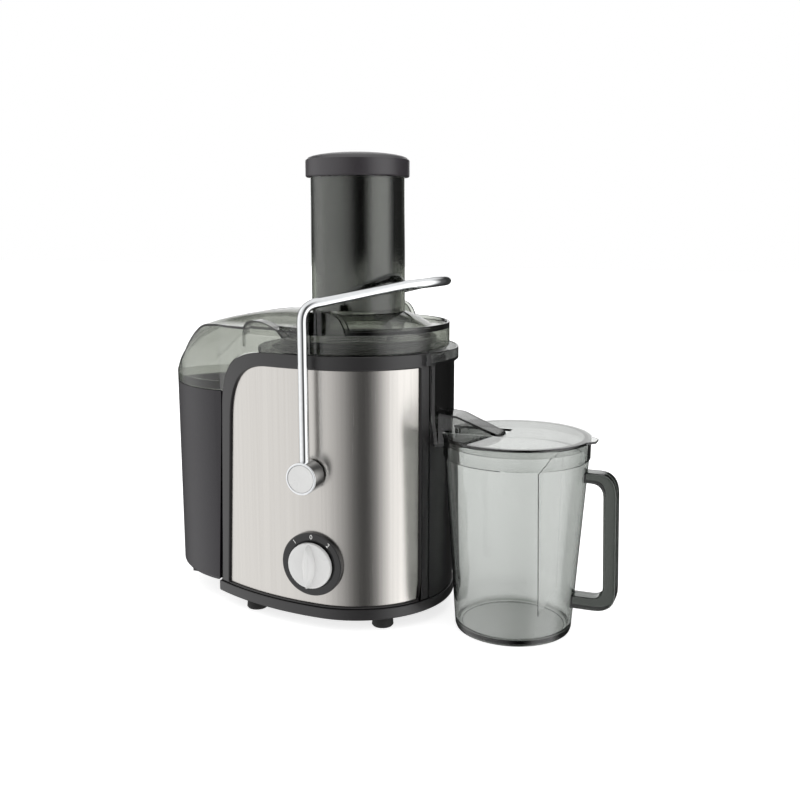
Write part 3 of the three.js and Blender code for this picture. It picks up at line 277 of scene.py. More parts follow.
def settle(piece):
    """Applies the piece's modifiers, so that it ends as a plain mesh."""
    baked = bpy.data.meshes.new_from_object(piece.evaluated_get(bpy.context.evaluated_depsgraph_get()))
    piece.modifiers.clear()
    piece.data = baked
    return piece


def shaped(base, how, *others):
    """Joins, cuts or crosses a solid with others, which are used up."""
    for other in others:
        step = base.modifiers.new("shape", "BOOLEAN")
        step.operation = {"join": "UNION", "cut": "DIFFERENCE", "cross": "INTERSECT"}[how]
        step.solver = "MANIFOLD"
        step.object = other
    settle(base)
    for other in others:
        bpy.data.objects.remove(other)
    return base


def softened(piece, width, segments=2, angle=40):
    """Breaks the piece's sharp edges by a width in millimetres."""
    work = bmesh.new()
    work.from_mesh(piece.data)
    bmesh.ops.remove_doubles(work, verts=work.verts, dist=0.002 * MM)
    bmesh.ops.dissolve_limit(work, angle_limit=math.radians(0.5), verts=work.verts, edges=work.edges)
    work.to_mesh(piece.data)
    work.free()
    edges = piece.modifiers.new("edges", "BEVEL")
    edges.width = width * MM
    edges.segments = segments
    edges.limit_method = "ANGLE"
    edges.angle_limit = math.radians(angle)
    edges.use_clamp_overlap = False
    edges.miter_outer = "MITER_ARC"
    return settle(piece)


def finished(piece, name, body, material, nodes=(), angle=35):
    """Names, shades and paints a piece, and lets it stand for its CAD nodes."""
    piece.name = name
    piece.data.name = name
    for face in piece.data.polygons:
        face.use_smooth = True
    piece.data.set_sharp_from_angle(angle=math.radians(angle))
    weighted = piece.modifiers.new("weighted", "WEIGHTED_NORMAL")
    weighted.keep_sharp = True
    settle(piece)
    piece.data.materials.clear()
    piece.data.materials.append(material)
    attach(piece, body)
    if nodes:
        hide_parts(*nodes)
    return piece


def new_material(name, surface, volume=None):
    """A material whose surface, and volume if any, are made by the functions given."""
    material = bpy.data.materials.new(name)
    material.use_nodes = True
    tree = material.node_tree
    tree.nodes.clear()
    ends = {"Surface": surface(tree)}
    if volume:
        ends["Volume"] = volume(tree)
    add_node(tree, "ShaderNodeOutputMaterial", ends)
    return material


def place(tree, scale=(1, 1, 1)):
    """Object coordinates in metres, stretched along each axis for a pattern."""
    where = add_node(tree, "ShaderNodeTexCoord").outputs["Object"]
    return add_node(tree, "ShaderNodeMapping", {"Vector": where, "Scale": scale}).outputs[0]


def moulded_plastic(name, colour, worn, roughness, grain=0.5, depth=0.02, ior=1.53):
    """Moulded plastic: spark grain of a size and depth in mm, an uneven gloss, a paler wear mottle."""

    def surface(tree):
        grains = {"Vector": place(tree), "Scale": 1 / (grain * MM), "Detail": 3.0}
        relief = add_node(tree, "ShaderNodeTexNoise", grains).outputs[0]
        mottle = {"Vector": place(tree), "Scale": 30.0, "Detail": 4.0}
        wear = add_node(tree, "ShaderNodeTexNoise", mottle).outputs[0]
        tones = {0: wear, 6: linear(colour), 7: linear(worn)}
        tone = add_node(tree, "ShaderNodeMix", tones, data_type="RGBA").outputs[2]
        glosses = {0: wear, 3: roughness - 0.04, 4: roughness + 0.05}
        gloss = add_node(tree, "ShaderNodeMapRange", glosses).outputs[0]
        bump = add_node(tree, "ShaderNodeBump", {"Height": relief, "Distance": depth * MM})
        face = {"Base Color": tone, "Roughness": gloss, "Normal": bump.outputs[0], "IOR": ior}
        return add_node(tree, "ShaderNodeBsdfPrincipled", face).outputs[0]

    return new_material(name, surface)


# Black ABS as moulded: near black, with a satin sheen broken up by the texture of the tool. The
# texture is a tenth of a millimetre on the real one, and is drawn at half a millimetre to show.
black_abs = moulded_plastic("black_abs_spark_textured", "1b1a1b", "222122", 0.36)

housing_low, housing_high = limits("motor_housing")
BODY_R = housing_high.y    # round right end
FRONT_R = 260    # gentle curve of the front and the back
BODY_LEFT = 1 - housing_low.x
BODY_LEFT_TOP = BODY_LEFT - 8
DECK_Z = housing_high.z
HOUSING_Z = housing_low.z
SHOULDER_Z = DECK_Z - 38
WALL = 2.5
TRIM_T = 3.2
TRIM_TOP_Z = limits("front_trim")[1].z
TRIM_RIGHT = limits("front_trim")[1].x
WELL_R = BODY_R - 6
WELL_Z = limits("collector_bowl")[0].z + 8.5
SPOUT_Y = sum(limits("jug_lid"), Vector()).y / 2
CONTROL_X = sum(limits("dial_ring"), Vector()).x / 2
DIAL_Z = sum(limits("dial_ring"), Vector()).z / 2
PIVOT_Z = sum(limits("pivot_knob_front"), Vector()).z / 2


def body_plan(inset, steps=64):
    """Plan of the motor unit: a round right end, and a gentle front and back that run to the left."""
    big = FRONT_R - inset
    away = math.degrees(math.asin((BODY_LEFT - inset) / big))
    plan = arc((0, 0), BODY_R - inset, -90, 90, steps)
    plan += arc((0, BODY_R - FRONT_R), big, 90, 90 + away, steps // 3)[1:]
    plan += arc((0, FRONT_R - BODY_R), big, -90 - away, -90, steps // 3)[:-1]
    return plan


def trim_outline(grow, foot, right):
    """Elevation of the front trim; the lid's lower edge follows it too."""
    shoulder = BODY_LEFT_TOP - 1 + grow
    top = TRIM_TOP_Z + grow
    outline = [(1.5 - BODY_LEFT - grow, foot), (right, foot), (right, top), (62 - BODY_LEFT_TOP, top)]
    pulls = (18 - shoulder, top), (3 - shoulder, top - 13)
    return outline + bezier(outline[-1], *pulls, (-shoulder, SHOULDER_Z))


def housing_outline(inset, foot):
    """Elevation of the housing: a leaning left wall and a round shoulder, where pulp slides down."""
    top = DECK_Z - inset
    shoulder = BODY_LEFT_TOP - 2 - inset
    right = BODY_R + 10
    outline = [(1 + inset - BODY_LEFT, foot), (right, foot), (right, top), (34 - shoulder, top)]
    pulls = (14 - shoulder, top), (-shoulder, top - 15)
    return outline + bezier(outline[-1], *pulls, (-shoulder, SHOULDER_Z - 6))


def apron_outline(grow):
    """Side view of the collector's apron, over the spout."""
    foot, low, high = WELL_Z - 8.5, 14 + grow, 18.5 + grow
    return [
        (SPOUT_Y - low, foot - grow),
        (SPOUT_Y + low, foot - grow),
        (SPOUT_Y + high, foot + 26),
        (SPOUT_Y + high, DECK_Z + 1),
        (SPOUT_Y - high, DECK_Z + 1),
        (SPOUT_Y - high, foot + 26),
    ]


front_back = TRIM_T + GAP
recess = shaped(
    prism(trim_outline(GAP, HOUSING_Z - 1, TRIM_RIGHT + GAP), "Y", -FAR, 0),
    "cut",
    prism(body_plan(front_back), "Z", 0, FAR),
)
behind = shaped(
    prism(body_plan(WALL), "Z", HOUSING_Z - 1, DECK_Z - WALL), "cut", block(-FAR, FAR, -FAR, 0, 0, FAR)
)
hollow = shaped(prism(body_plan(front_back + WALL), "Z", HOUSING_Z - 1, DECK_Z - WALL), "join", behind)
shaped(hollow, "cut", rod(WELL_R + WALL, WELL_Z - WALL, DECK_Z))
shaped(hollow, "cross", prism(housing_outline(WALL, HOUSING_Z - 1), "Y", -FAR, FAR))
housing = shaped(
    prism(body_plan(0), "Z", HOUSING_Z, DECK_Z),
    "cross",
    prism(housing_outline(0, HOUSING_Z), "Y", -FAR, FAR),
)
shaped(
    housing,
    "cut",
    recess,
    hollow,
    rod(WELL_R, WELL_Z, DECK_Z + 1, sides=128),
    rod(14, WELL_Z - WALL - 1, WELL_Z + 1),
    prism(apron_outline(RUN), "X", WELL_R - 24, BODY_R + 9),
    rod(19.3, -BODY_R, 14 - BODY_R, (CONTROL_X, DIAL_Z), "Y"),
    rod(8.3, -BODY_R - 1, 15 - BODY_R, (CONTROL_X, PIVOT_Z), "Y"),
    rod(8.3, BODY_R - 15, BODY_R + 1, (CONTROL_X, PIVOT_Z), "Y"),
    rod(8.3, BODY_R - 14, BODY_R + 1, (-45, 40), "Y"),
)
finished(housing, "housing_shell", "motor_unit", black_abs, ["motor_housing"])


# ---------------------------------------------------------------- front trim
# Black ABS frame round the steel panel, with softly rounded edges, clipped into the housing.
def front_run(x, depth=0):
    """How far along the curved front a place at x is, from straight ahead of the motor axis."""
    radius = FRONT_R if x < 0 else BODY_R
    return radius * math.asin(x / (radius - depth))


def on_front(run, depth, z):
    """A point so far along the front, and so deep under its surface."""
    radius = FRONT_R if run < 0 else BODY_R
    across = (radius - depth) * math.sin(run / radius)
    return spot(across, radius - BODY_R - (radius - depth) * math.cos(run / radius), z)


def wrapped(outline, holes, depth, thickness, edge):
    """A flat plate with rounded edges, bent round the front. Outlines are (x, z) points."""
    plate = prism([(front_run(x, depth), z) for x, z in outline], "Y", depth, depth + thickness)
    cuts = [[(front_run(x, depth), z) for x, z in hole] for hole in holes]
    if cuts:
        shaped(plate, "cut", *[prism(cut, "Y", -50, 50) for cut in cuts])
    softened(plate, edge, 3, 50)
    work = bmesh.new()
    work.from_mesh(plate.data)
    slice_mm = 3
    left, right = front_run(outline[0][0]), front_run(TRIM_RIGHT)
    for i in range(1, int((right - left) / slice_mm)):
        where = spot(left + i * slice_mm, 0, 0)
        parts = work.verts[:] + work.edges[:] + work.faces[:]
        bmesh.ops.bisect_plane(work, geom=parts, plane_co=where, plane_no=(1, 0, 0))
    for vert in work.verts:
        flat = (vert.co - Vector((AXIS_X, 0, 0))) / MM
        vert.co = on_front(flat.x, flat.y, flat.z)
    work.to_mesh(plate.data)
    work.free()
    return plate


PANEL_SIDE = 4.5    # right end of the panel, inside the trim's
PANEL_RIGHT = TRIM_RIGHT - PANEL_SIDE
PANEL_TOP_Z = DECK_Z - 1
SILL_H = 1.2    # trim under the panel


def panel_outline(shrink):
    """Elevation of the steel panel."""
    top = PANEL_TOP_Z - shrink
    left = BODY_LEFT_TOP - 12 - shrink
    foot = HOUSING_Z + SILL_H + GAP + shrink
    outline = [(shrink + 11 - BODY_LEFT, foot), (PANEL_RIGHT - shrink, foot)]
    outline += [(PANEL_RIGHT - shrink, top), (43 - left, top)]
    return outline + bezier(outline[-1], (20 - left, top), (3 - left, top - 12), (-left, SHOULDER_Z - 10))


trim = wrapped(trim_outline(0, HOUSING_Z, TRIM_RIGHT), [panel_outline(-GAP)], 0, TRIM_T, 0.8)
finished(trim, "trim_frame", "motor_unit", black_abs, ["front_trim"])


# ---------------------------------------------------------------- front panel
# Stainless steel sheet, 1 mm, brushed upright and bent round the front, glued into the trim.
def brushed_steel_surface(tree):
    # hairlines are a few hundredths of a millimetre wide; drawn 0.4 mm wide and 80 mm long
    hair = {"Vector": place(tree, (2500, 2500, 12)), "Scale": 1.0, "Detail": 3.0}
    lines = add_node(tree, "ShaderNodeTexNoise", hair).outputs[0]
    broad = {"Vector": place(tree, (420, 420, 3)), "Scale": 1.0, "Detail": 2.0}
    streaks = add_node(tree, "ShaderNodeTexNoise", broad).outputs[0]
    tones = {0: streaks, 6: linear("b9b6b2"), 7: linear("c4c1bd")}
    tone = add_node(tree, "ShaderNodeMix", tones, data_type="RGBA").outputs[2]
    gloss = add_node(tree, "ShaderNodeMapRange", {0: lines, 3: 0.2, 4: 0.3}).outputs[0]
    bump = add_node(tree, "ShaderNodeBump", {"Height": lines, "Distance": 0.003 * MM})
    face = {"Base Color": tone, "Metallic": 1.0, "Roughness": gloss, "Normal": bump.outputs[0]}
    return add_node(tree, "ShaderNodeBsdfPrincipled", face).outputs[0]


# Brushed stainless: grey-white, upright hairlines, and soft upright bands of reflected light.
brushed_steel = new_material("stainless_steel_brushed_upright", brushed_steel_surface)
PANEL_DEEP = 2.2
openings = [arc((CONTROL_X, DIAL_Z), 19.3, 0, 352.5, 47), arc((CONTROL_X, PIVOT_Z), 8.3, 0, 345, 23)]
panel = wrapped(panel_outline(0), openings, PANEL_DEEP, 1.0, 0.25)
finished(panel, "panel_sheet", "motor_unit", brushed_steel, ["front_panel"])

# ---------------------------------------------------------------- base and feet
# The base cover is black ABS with a proud lip and a tongue under the pulp container; the feet are
# soft black rubber cups, each held by a plated pan-head screw.
base_low, base_high = limits("base_cover")
FOOT_H = base_low.z
BASE_PROUD = base_high.y - BODY_R
lip_top = HOUSING_Z - GAP
rows = [(0.6, FOOT_H), (-0.7, FOOT_H + 0.3), (-BASE_PROUD, FOOT_H + 1.2), (-BASE_PROUD, lip_top - 1)]
rows += [(-BASE_PROUD + 0.3, lip_top - 0.3), (-BASE_PROUD + 1, lip_top), (WALL, lip_top)]
rows += [(WALL, FOOT_H + WALL)]
base = loft([[(x, y, z) for x, y in body_plan(inset)] for inset, z in rows])
tongue_low = base_low.x
shaped(base, "join", block(tongue_low, 4 - BODY_LEFT, -36, 36, 16, 19.7))
vents = [block(-30, 30, 8 * row - 17, 8 * row - 14, FOOT_H - 1, FOOT_H + 4) for row in range(5)]
corners = ("front_left", "front_right", "rear_left", "rear_right")
feet = [sum(limits("foot_" + corner), Vector()) / 2 for corner in corners]
holes = [rod(2.3, FOOT_H - 1, FOOT_H + 4, foot.xy, sides=24) for foot in feet]
shaped(base, "cut", *vents, *holes)
finished(base, "base_tray", "motor_unit", black_abs, ["base_cover"])

# Black EPDM rubber: matt, a little dusty, with no clear reflection.
rubber = moulded_plastic("black_epdm_rubber_moulded", "131313", "1d1d1c", 0.78, grain=0.8, ior=1.5)
for corner, foot in zip(corners, feet):
    cup = [(5, 3), (5, 0), (8.5, 0), (9.5, 1.2), (8.9, FOOT_H - 1.2), (8.4, FOOT_H - GAP)]
    cup += [(2.3, FOOT_H - GAP), (2.3, 3)]
    pad = turned(cup, foot.xy, sides=48)
    finished(pad, "rubber_foot_" + corner, "motor_unit", rubber, ["foot_" + corner])

gland = turned(
    rounded([(3.4, 74), (8, 74), (8, 84.2), (11, 84.2), (11, 88), (3.4, 88)], 0.6), (-45, 40), "Y"
)
finished(gland, "cord_inlet", "motor_unit", rubber, ["cord_gland"])


# ---------------------------------------------------------------- inside: motor and controls
# A universal motor hangs from the well on two rubber posts; the board, the switch and the safety
# switch stand in the foot and behind the panel. They keep their CAD shapes.
def metal(name, dark, light, low, high, marks_per_m=(300, 300, 300)):
    """A metal whose tone and gloss vary a little with the marks of its making."""

    def surface(tree):
        pattern = {"Vector": place(tree, marks_per_m), "Scale": 1.0, "Detail": 3.0}
        marks = add_node(tree, "ShaderNodeTexNoise", pattern).outputs[0]
        tones = {0: marks, 6: linear(dark), 7: linear(light)}
        tone = add_node(tree, "ShaderNodeMix", tones, data_type="RGBA").outputs[2]
        gloss = add_node(tree, "ShaderNodeMapRange", {0: marks, 3: low, 4: high}).outputs[0]
        face = {"Base Color": tone, "Metallic": 1.0, "Roughness": gloss}
        return add_node(tree, "ShaderNodeBsdfPrincipled", face).outputs[0]

    return new_material(name, surface)


# Ground and plated steel: bright grey, with a soft gloss.
ground_steel = metal("ground_steel", "a8a9a8", "bfc0bf", 0.22, 0.36)
# Stacked silicon-steel sheets: grey-blue, dull, with the lines of the stack.
lamination = metal("stamped_lamination_steel", "55575a", "777a7d", 0.4, 0.6, (60, 60, 2000))
# Enamelled copper winding: brown-red, with the lay of the wire.
copper = metal("enamelled_copper_wire", "8a4a26", "b5713f", 0.25, 0.4, (40, 1800, 1800))
# Grey ABS of the inner parts, left with the bare tool's finish.
inner_abs = moulded_plastic("grey_abs_inner_parts", "3c3c40", "47474b", 0.5)
# Glass-fibre board under green solder lacquer.
lacquer = moulded_plastic("lacquered_fibreglass_board", "1f5a32", "2c6b3e", 0.35)
# Acetal bushes: milky white and slippery.
acetal = moulded_plastic("milky_acetal_bush", "cfcfcb", "dadad6", 0.4)
FINISH_OF_SLOT = {
    "bright_steel": ground_steel,
    "lamination": lamination,
    "copper": copper,
    "board": lacquer,
    "inner_plastic": inner_abs,
    "rubber": rubber,
    "black_plastic": black_abs,
    "silver_plastic": acetal,
}
for row in frame["record"]["subparts"]:
    node = frame["nodes"][row["node"]]
    if row["material_slot"] in FINISH_OF_SLOT:
        node.data.materials.clear()
        node.data.materials.append(FINISH_OF_SLOT[row["material_slot"]])

# ---------------------------------------------------------------- speed control
# Gloss black bezel ring with printed marks, and a silver-sprayed knob with a raised grip.
# Polished black ABS: deep black with clear highlights.
gloss_black = moulded_plastic("black_abs_polished", "0d0d0e", "131314", 0.12, grain=3, depth=0.01)
dial_low, dial_high = limits("dial_ring")
DIAL_R = (dial_high.z - dial_low.z) / 2
DIAL_Y = dial_low.y
bezel = [(0, -76), (DIAL_R, -76), (DIAL_R, DIAL_Y), (21, DIAL_Y), (20.6, DIAL_Y + 0.6)]
bezel = rounded(bezel, 1.2, ends=False)
bezel = turned(bezel + [(0, DIAL_Y + 0.6)], (CONTROL_X, DIAL_Z), "Y")
shaped(bezel, "cut", prism(body_plan(PANEL_DEEP - GAP), "Z", 0, FAR))
finished(bezel, "dial_bezel", "motor_unit", gloss_black, ["dial_ring"])

# White pad print: thin, matt, slightly soft at the edge.
print_white = moulded_plastic("white_pad_print", "e2e2e0", "d2d2d0", 0.6, grain=0.3)
marks = bmesh.new()
for degrees, figure in ((40, "1"), (0, "0"), (-40, "2")):
    text = bpy.data.curves.new("figure", "FONT")
    text.body = figure
    text.size = 5.6 * MM
    text.extrude = 0.06 * MM
    text.align_x = "CENTER"
    text.align_y = "CENTER"
    holder = bpy.data.objects.new("figure", text)
    bpy.context.scene.collection.objects.link(holder)
    drawn = bpy.data.meshes.new_from_object(holder.evaluated_get(bpy.context.evaluated_depsgraph_get()))
    bpy.data.objects.remove(holder)
    a = math.radians(degrees)
    upright = Matrix.Rotation(math.radians(90), 4, "X")
    away = spot(CONTROL_X - 24.3 * math.sin(a), DIAL_Y - 0.06, DIAL_Z + 24.3 * math.cos(a))
    drawn.transform(Matrix.Translation(away) @ Matrix.Rotation(-a, 4, "Y") @ upright)
    marks.from_mesh(drawn)
finished(solid_of(marks), "dial_figures", "motor_unit", print_white)

# Silver-sprayed ABS: a pale, fine metallic lacquer.
silver_spray = moulded_plastic("silver_sprayed_abs", "c6c6c5", "d4d4d3", 0.28, grain=0.4, depth=0.006)
KNOB_Y = DIAL_Y - RUN
KNOB_R = (limits("speed_knob")[1].z - limits("speed_knob")[0].z) / 2
disc = rounded([(0, KNOB_Y), (KNOB_R, KNOB_Y), (KNOB_R, KNOB_Y - 4.5), (0, KNOB_Y - 4.5)], 1.2, ends=False)
grip_rows = [(6.2, 19.2, 3.5), (6.0, 19, 5), (4.6, 18.6, 8), (3.4, 18.2, 10)]
grip_rows += [(2.4, 17.6, 10.8), (1.2, 16.5, 11)]


def lens(half_width, half_length, y):
    """A pointed upright oval at one depth in front of the dial."""
    right = [(half_width * (1 - t * t), half_length * t) for t in [i / 12 - 1 for i in range(25)]]
    outline = right + [(-x, z) for x, z in reversed(right[1:-1])]
    return [(CONTROL_X + x, KNOB_Y - y, DIAL_Z + z) for x, z in outline]


knob = turned(disc, (CONTROL_X, DIAL_Z), "Y")
shaped(knob, "join", loft([lens(*row) for row in grip_rows]))
finished(knob, "knob_with_grip", "speed_control", silver_spray, ["speed_knob"])

# ---------------------------------------------------------------- bail
# An 8 mm steel rod bent to a loop and chromed. It ends in two turned, chromed knobs that are its
# pivots, and each has a silver-sprayed disc let into its face.
# Bright chrome: mirror-like, faintly blue, with hardly any marks.
chrome = metal("chromed_steel_rod", "d2d4d6", "e2e3e4", 0.03, 0.07)
rod_high = limits("bail_rod")[1]
ROD_R = 4.2
BAIL_Y = rod_high.y - ROD_R
PIVOT_R = 13.8
TIP_X = rod_high.x - ROD_R
TOP_Z = 281    # corner of an arm
RISE = 19.5    # tip of the loop above the corners


def arm_at(x, apex):
    """A point of the loop's front run, which heads for its apex."""
    y = -BAIL_Y * (apex - x) / (apex - CONTROL_X)
    return Vector((x, y, TOP_Z + RISE * (x - CONTROL_X) / (TIP_X - CONTROL_X)))


def curve_through(start, pull, end, steps):
    shares = [i / steps for i in range(1, steps + 1)]
    return [start * (1 - t) ** 2 + pull * (2 * t * (1 - t)) + end * t * t for t in shares]


bend = 13
apex_x = TIP_X + 22
foot = Vector((CONTROL_X, -BAIL_Y, PIVOT_Z + 6.3))
below = Vector((CONTROL_X, -BAIL_Y, TOP_Z - bend))
corner = arm_at(CONTROL_X, apex_x)
after = arm_at(CONTROL_X + bend * 0.75, apex_x)
turn = arm_at(2 * TIP_X - apex_x, apex_x)
apex = Vector((apex_x, 0, TOP_Z + RISE))
front_half = [foot, below] + curve_through(below, corner, after, 10)
back_turn = Vector((turn.x, -turn.y, turn.z))
loop = front_half + [turn] + curve_through(turn, apex, back_turn, 40)
loop += [Vector((p.x, -p.y, p.z)) for p in reversed(front_half)]


def geometry_tree(name, sizes, build, material):
    """A node group with a named input for each size; build makes its nodes and gives the last one."""
    tree = bpy.data.node_groups.new(name, "GeometryNodeTree")
    tree.interface.new_socket("Geometry", in_out="INPUT", socket_type="NodeSocketGeometry")
    for label, value in sizes.items():
        kind = "NodeSocketInt" if isinstance(value, int) else "NodeSocketFloat"
        tree.interface.new_socket(label, in_out="INPUT", socket_type=kind)
    tree.interface.new_socket("Geometry", in_out="OUTPUT", socket_type="NodeSocketGeometry")
    made = build(tree, add_node(tree, "NodeGroupInput").outputs)
    real = add_node(tree, "GeometryNodeRealizeInstances", {0: made.outputs[0]})
    painted = add_node(tree, "GeometryNodeSetMaterial", {0: real.outputs[0], "Material": material})
    add_node(tree, "NodeGroupOutput", {0: painted.outputs[0]})
    return tree


def grown(piece, tree, sizes):
    """Runs a node group on a piece with these sizes, and keeps the result as its mesh."""
    modifier = piece.modifiers.new(tree.name, "NODES")
    modifier.node_group = tree
    for item in tree.interface.items_tree:
        if item.in_out == "INPUT" and item.name in sizes:
            modifier[item.identifier] = sizes[item.name]
    return settle(piece)


def swept_rod(tree, given):
    path = add_node(tree, "GeometryNodeMeshToCurve", {0: given["Geometry"]})
    fine = {0: path.outputs[0], "Count": given["Rings"]}
    smooth = add_node(tree, "GeometryNodeResampleCurve", fine)
    section = {"Resolution": given["Sides"], "Radius": given["Rod radius"]}
    circle = add_node(tree, "GeometryNodeCurvePrimitiveCircle", section)
    sweep = {0: smooth.outputs[0], 1: circle.outputs[0], "Fill Caps": True}
    return add_node(tree, "GeometryNodeCurveToMesh", sweep)


line = bpy.data.meshes.new("bail_line")
line.from_pydata([spot(*point) for point in loop], [(i, i + 1) for i in range(len(loop) - 1)], [])
bail = bpy.data.objects.new("bail_line", line)
bpy.context.scene.collection.objects.link(bail)
bail_sizes = {"Rod radius": ROD_R * MM, "Sides": 24, "Rings": 260}
grown(bail, geometry_tree("swept_rod", bail_sizes, swept_rod, chrome), bail_sizes)
finished(bail, "bail_loop", "bail", chrome, ["bail_rod"], 60)

KNOB_OUT = 19    # face of a pivot knob, beyond the housing
FACE_RIM = 2    # chromed rim round the silver disc
for side, end in ((-1, "front"), (1, "rear")):
    inner, face = side * (BODY_R + GAP), side * (BODY_R + KNOB_OUT)
    knob_line = [(0, inner), (PIVOT_R - 1, inner), (PIVOT_R - 1, inner + side * 2)]
    knob_line += [(PIVOT_R, inner + side * 2.5), (PIVOT_R, face), (PIVOT_R - FACE_RIM, face)]
    knob_line += [(PIVOT_R - FACE_RIM, face - side * 0.8), (0, face - side * 0.8)]
    turning = turned(rounded(knob_line, 0.8, ends=False), (CONTROL_X, PIVOT_Z), "Y")
    finished(turning, "bail_knob_" + end, "bail", chrome, ["pivot_knob_" + end])
    cap_r = PIVOT_R - FACE_RIM - 0.2
    cap_line = [(0, face - side * 0.7), (cap_r, face - side * 0.7), (cap_r, face), (0, face)]
    capping = turned(rounded(cap_line, 0.3, ends=False), (CONTROL_X, PIVOT_Z), "Y")
    finished(capping, "bail_knob_face_" + end, "bail", silver_spray)

# ---------------------------------------------------------------- collector
# Deep smoke SAN bowl with its rim and spout in one moulding; it stands in the well.
def smoke_clear(name, tint, density, roughness=0.03):
    """Clear tinted SAN: polished faces, and a tint that deepens with the thickness of the wall."""

    def surface(tree):
        waves = {"Vector": place(tree), "Scale": 25.0, "Detail": 1.0}
        ripple = add_node(tree, "ShaderNodeTexNoise", waves).outputs[0]
        bump = add_node(tree, "ShaderNodeBump", {"Height": ripple, "Distance": 0.03 * MM})
        face = {"Base Color": linear("ffffff"), "Roughness": roughness, "IOR": 1.57}
        face["Transmission Weight"] = 1.0
        face["Normal"] = bump.outputs[0]
        return add_node(tree, "ShaderNodeBsdfPrincipled", face).outputs[0]

    def volume(tree):
        smoke = {"Color": linear(tint), "Density": density}
        return add_node(tree, "ShaderNodeVolumeAbsorption", smoke).outputs[0]

    return new_material(name, surface, volume)


# The collector's SAN is tinted the deepest: it looks black over the housing, and glassy at the spout.
smoke_dark = smoke_clear("smoke_san_deep_tint", "6f736d", 420, 0.02)
BOWL_R = WELL_R - RUN
RIM_R = BODY_R + 4
RIM_TOP_Z = TRIM_TOP_Z + GAP
BOWL_WALL = 2.2
spout_low, spout_high = limits("collector_bowl")
TIP = spout_high.x
JUG_TOP_Z = limits("juice_jug")[1].z


def spout_shell(inset):
    """The spout: a beak that runs down to the right. inset 0 is its outside, more is its channel."""
    root, foot = BOWL_R - 5, spout_low.z
    side = [(root, foot + inset), (TIP - 14, foot + inset + 0.5), (TIP - inset, foot + inset + 6)]
    side += [(TIP - inset, JUG_TOP_Z + 1.5 - inset), (BODY_R + 15, WELL_Z + 19.5 - inset)]
    side += [(root, WELL_Z + 21.5 - inset)]
    half, tip_half = 14 - inset, 10 - inset
    right = [(root - 1, SPOUT_Y - half), (BODY_R + 6, SPOUT_Y - half), (TIP + 1, SPOUT_Y - tip_half)]
    plan = right + [(x, 2 * SPOUT_Y - y) for x, y in reversed(right)]
    side = rounded(side, 2.5, 3)
    shell = shaped(prism(side, "Y", -FAR, FAR), "cross", prism(plan, "Z", 0, FAR))
    behind_trim = RUN - math.sqrt((BODY_R - TRIM_T) ** 2 - TRIM_RIGHT**2)
    return shaped(shell, "cut", block(0, TRIM_RIGHT + RUN, -BODY_R, behind_trim, 0, FAR))


floor_z = WELL_Z + 1
bowl_line = [(22, floor_z), (BOWL_R, floor_z), (BOWL_R, RIM_TOP_Z), (BOWL_R - BOWL_WALL, RIM_TOP_Z)]
bowl_line += [(BOWL_R - BOWL_WALL, floor_z + BOWL_WALL), (24.2, floor_z + BOWL_WALL)]
bowl_line += [(24.2, floor_z + 28), (22, floor_z + 28)]
bowl = turned(rounded(bowl_line, 0.6, 2), sides=128)
rim_foot = DECK_Z + GAP
rim_line = [(BOWL_R - 1, rim_foot), (RIM_R, rim_foot), (RIM_R, RIM_TOP_Z), (RIM_R - BOWL_WALL, RIM_TOP_Z)]
rim_line += [(RIM_R - BOWL_WALL, rim_foot + BOWL_WALL), (BOWL_R - 1, rim_foot + BOWL_WALL)]
rim = turned(rounded(rim_line, 0.8, 3), sides=128)
reach = 2 * RIM_R
front = [(0, 0), (-reach, -reach * 0.62), (-reach, -reach), (TRIM_RIGHT + RUN, -reach), (TRIM_RIGHT + RUN, 0)]
front = shaped(prism(front, "Z", DECK_Z, RIM_TOP_Z + 1), "cut", rod(BOWL_R - 0.5, 0, FAR, sides=128))
shaped(rim, "cut", front)
APRON_R = RIM_R - 1
apron = prism(apron_outline(0), "X", TRIM_RIGHT + RUN, APRON_R + 1)
shaped(apron, "cross", rod(APRON_R, spout_low.z - 1, DECK_Z + 2, sides=128))
shaped(apron, "cut", rod(BOWL_R - 1, 0, FAR, sides=128))
spout = shaped(spout_shell(0), "cut", rod(BOWL_R - 1, 0, FAR, sides=128))
shaped(bowl, "join", rim, apron, spout)
mouth = block(TIP - 22, TIP - BOWL_WALL, SPOUT_Y - 7, SPOUT_Y + 7, spout_low.z - 5, spout_low.z + 8)
shaped(bowl, "cut", spout_shell(BOWL_WALL), mouth)
finished(bowl, "juice_collector", "motor_unit", smoke_dark, ["collector_bowl"])

# ---------------------------------------------------------------- basket
# Stainless mesh cone with etched holes, riveted between a grey plastic hub and a plastic rim; a
# toothed stainless disc covers the hub. The mesh has holes of 0.5 mm; they are drawn at 1.3 mm.
# Grey ABS, satin.
basket_abs = moulded_plastic("dark_grey_abs_hub", "333237", "3c3a40", 0.35)
# Etched and polished stainless sheet.
mesh_steel = metal("stainless_steel_polished", "b4b4b2", "c9c9c7", 0.16, 0.28)
for name in ("basket_hub", "basket_rim"):
    frame["nodes"][name].data.materials.clear()
    frame["nodes"][name].data.materials.append(basket_abs)
mesh_low, mesh_high = limits("filter_mesh")
MESH_FOOT_R = 48.5
MESH_TOP_R = mesh_high.y - 0.5


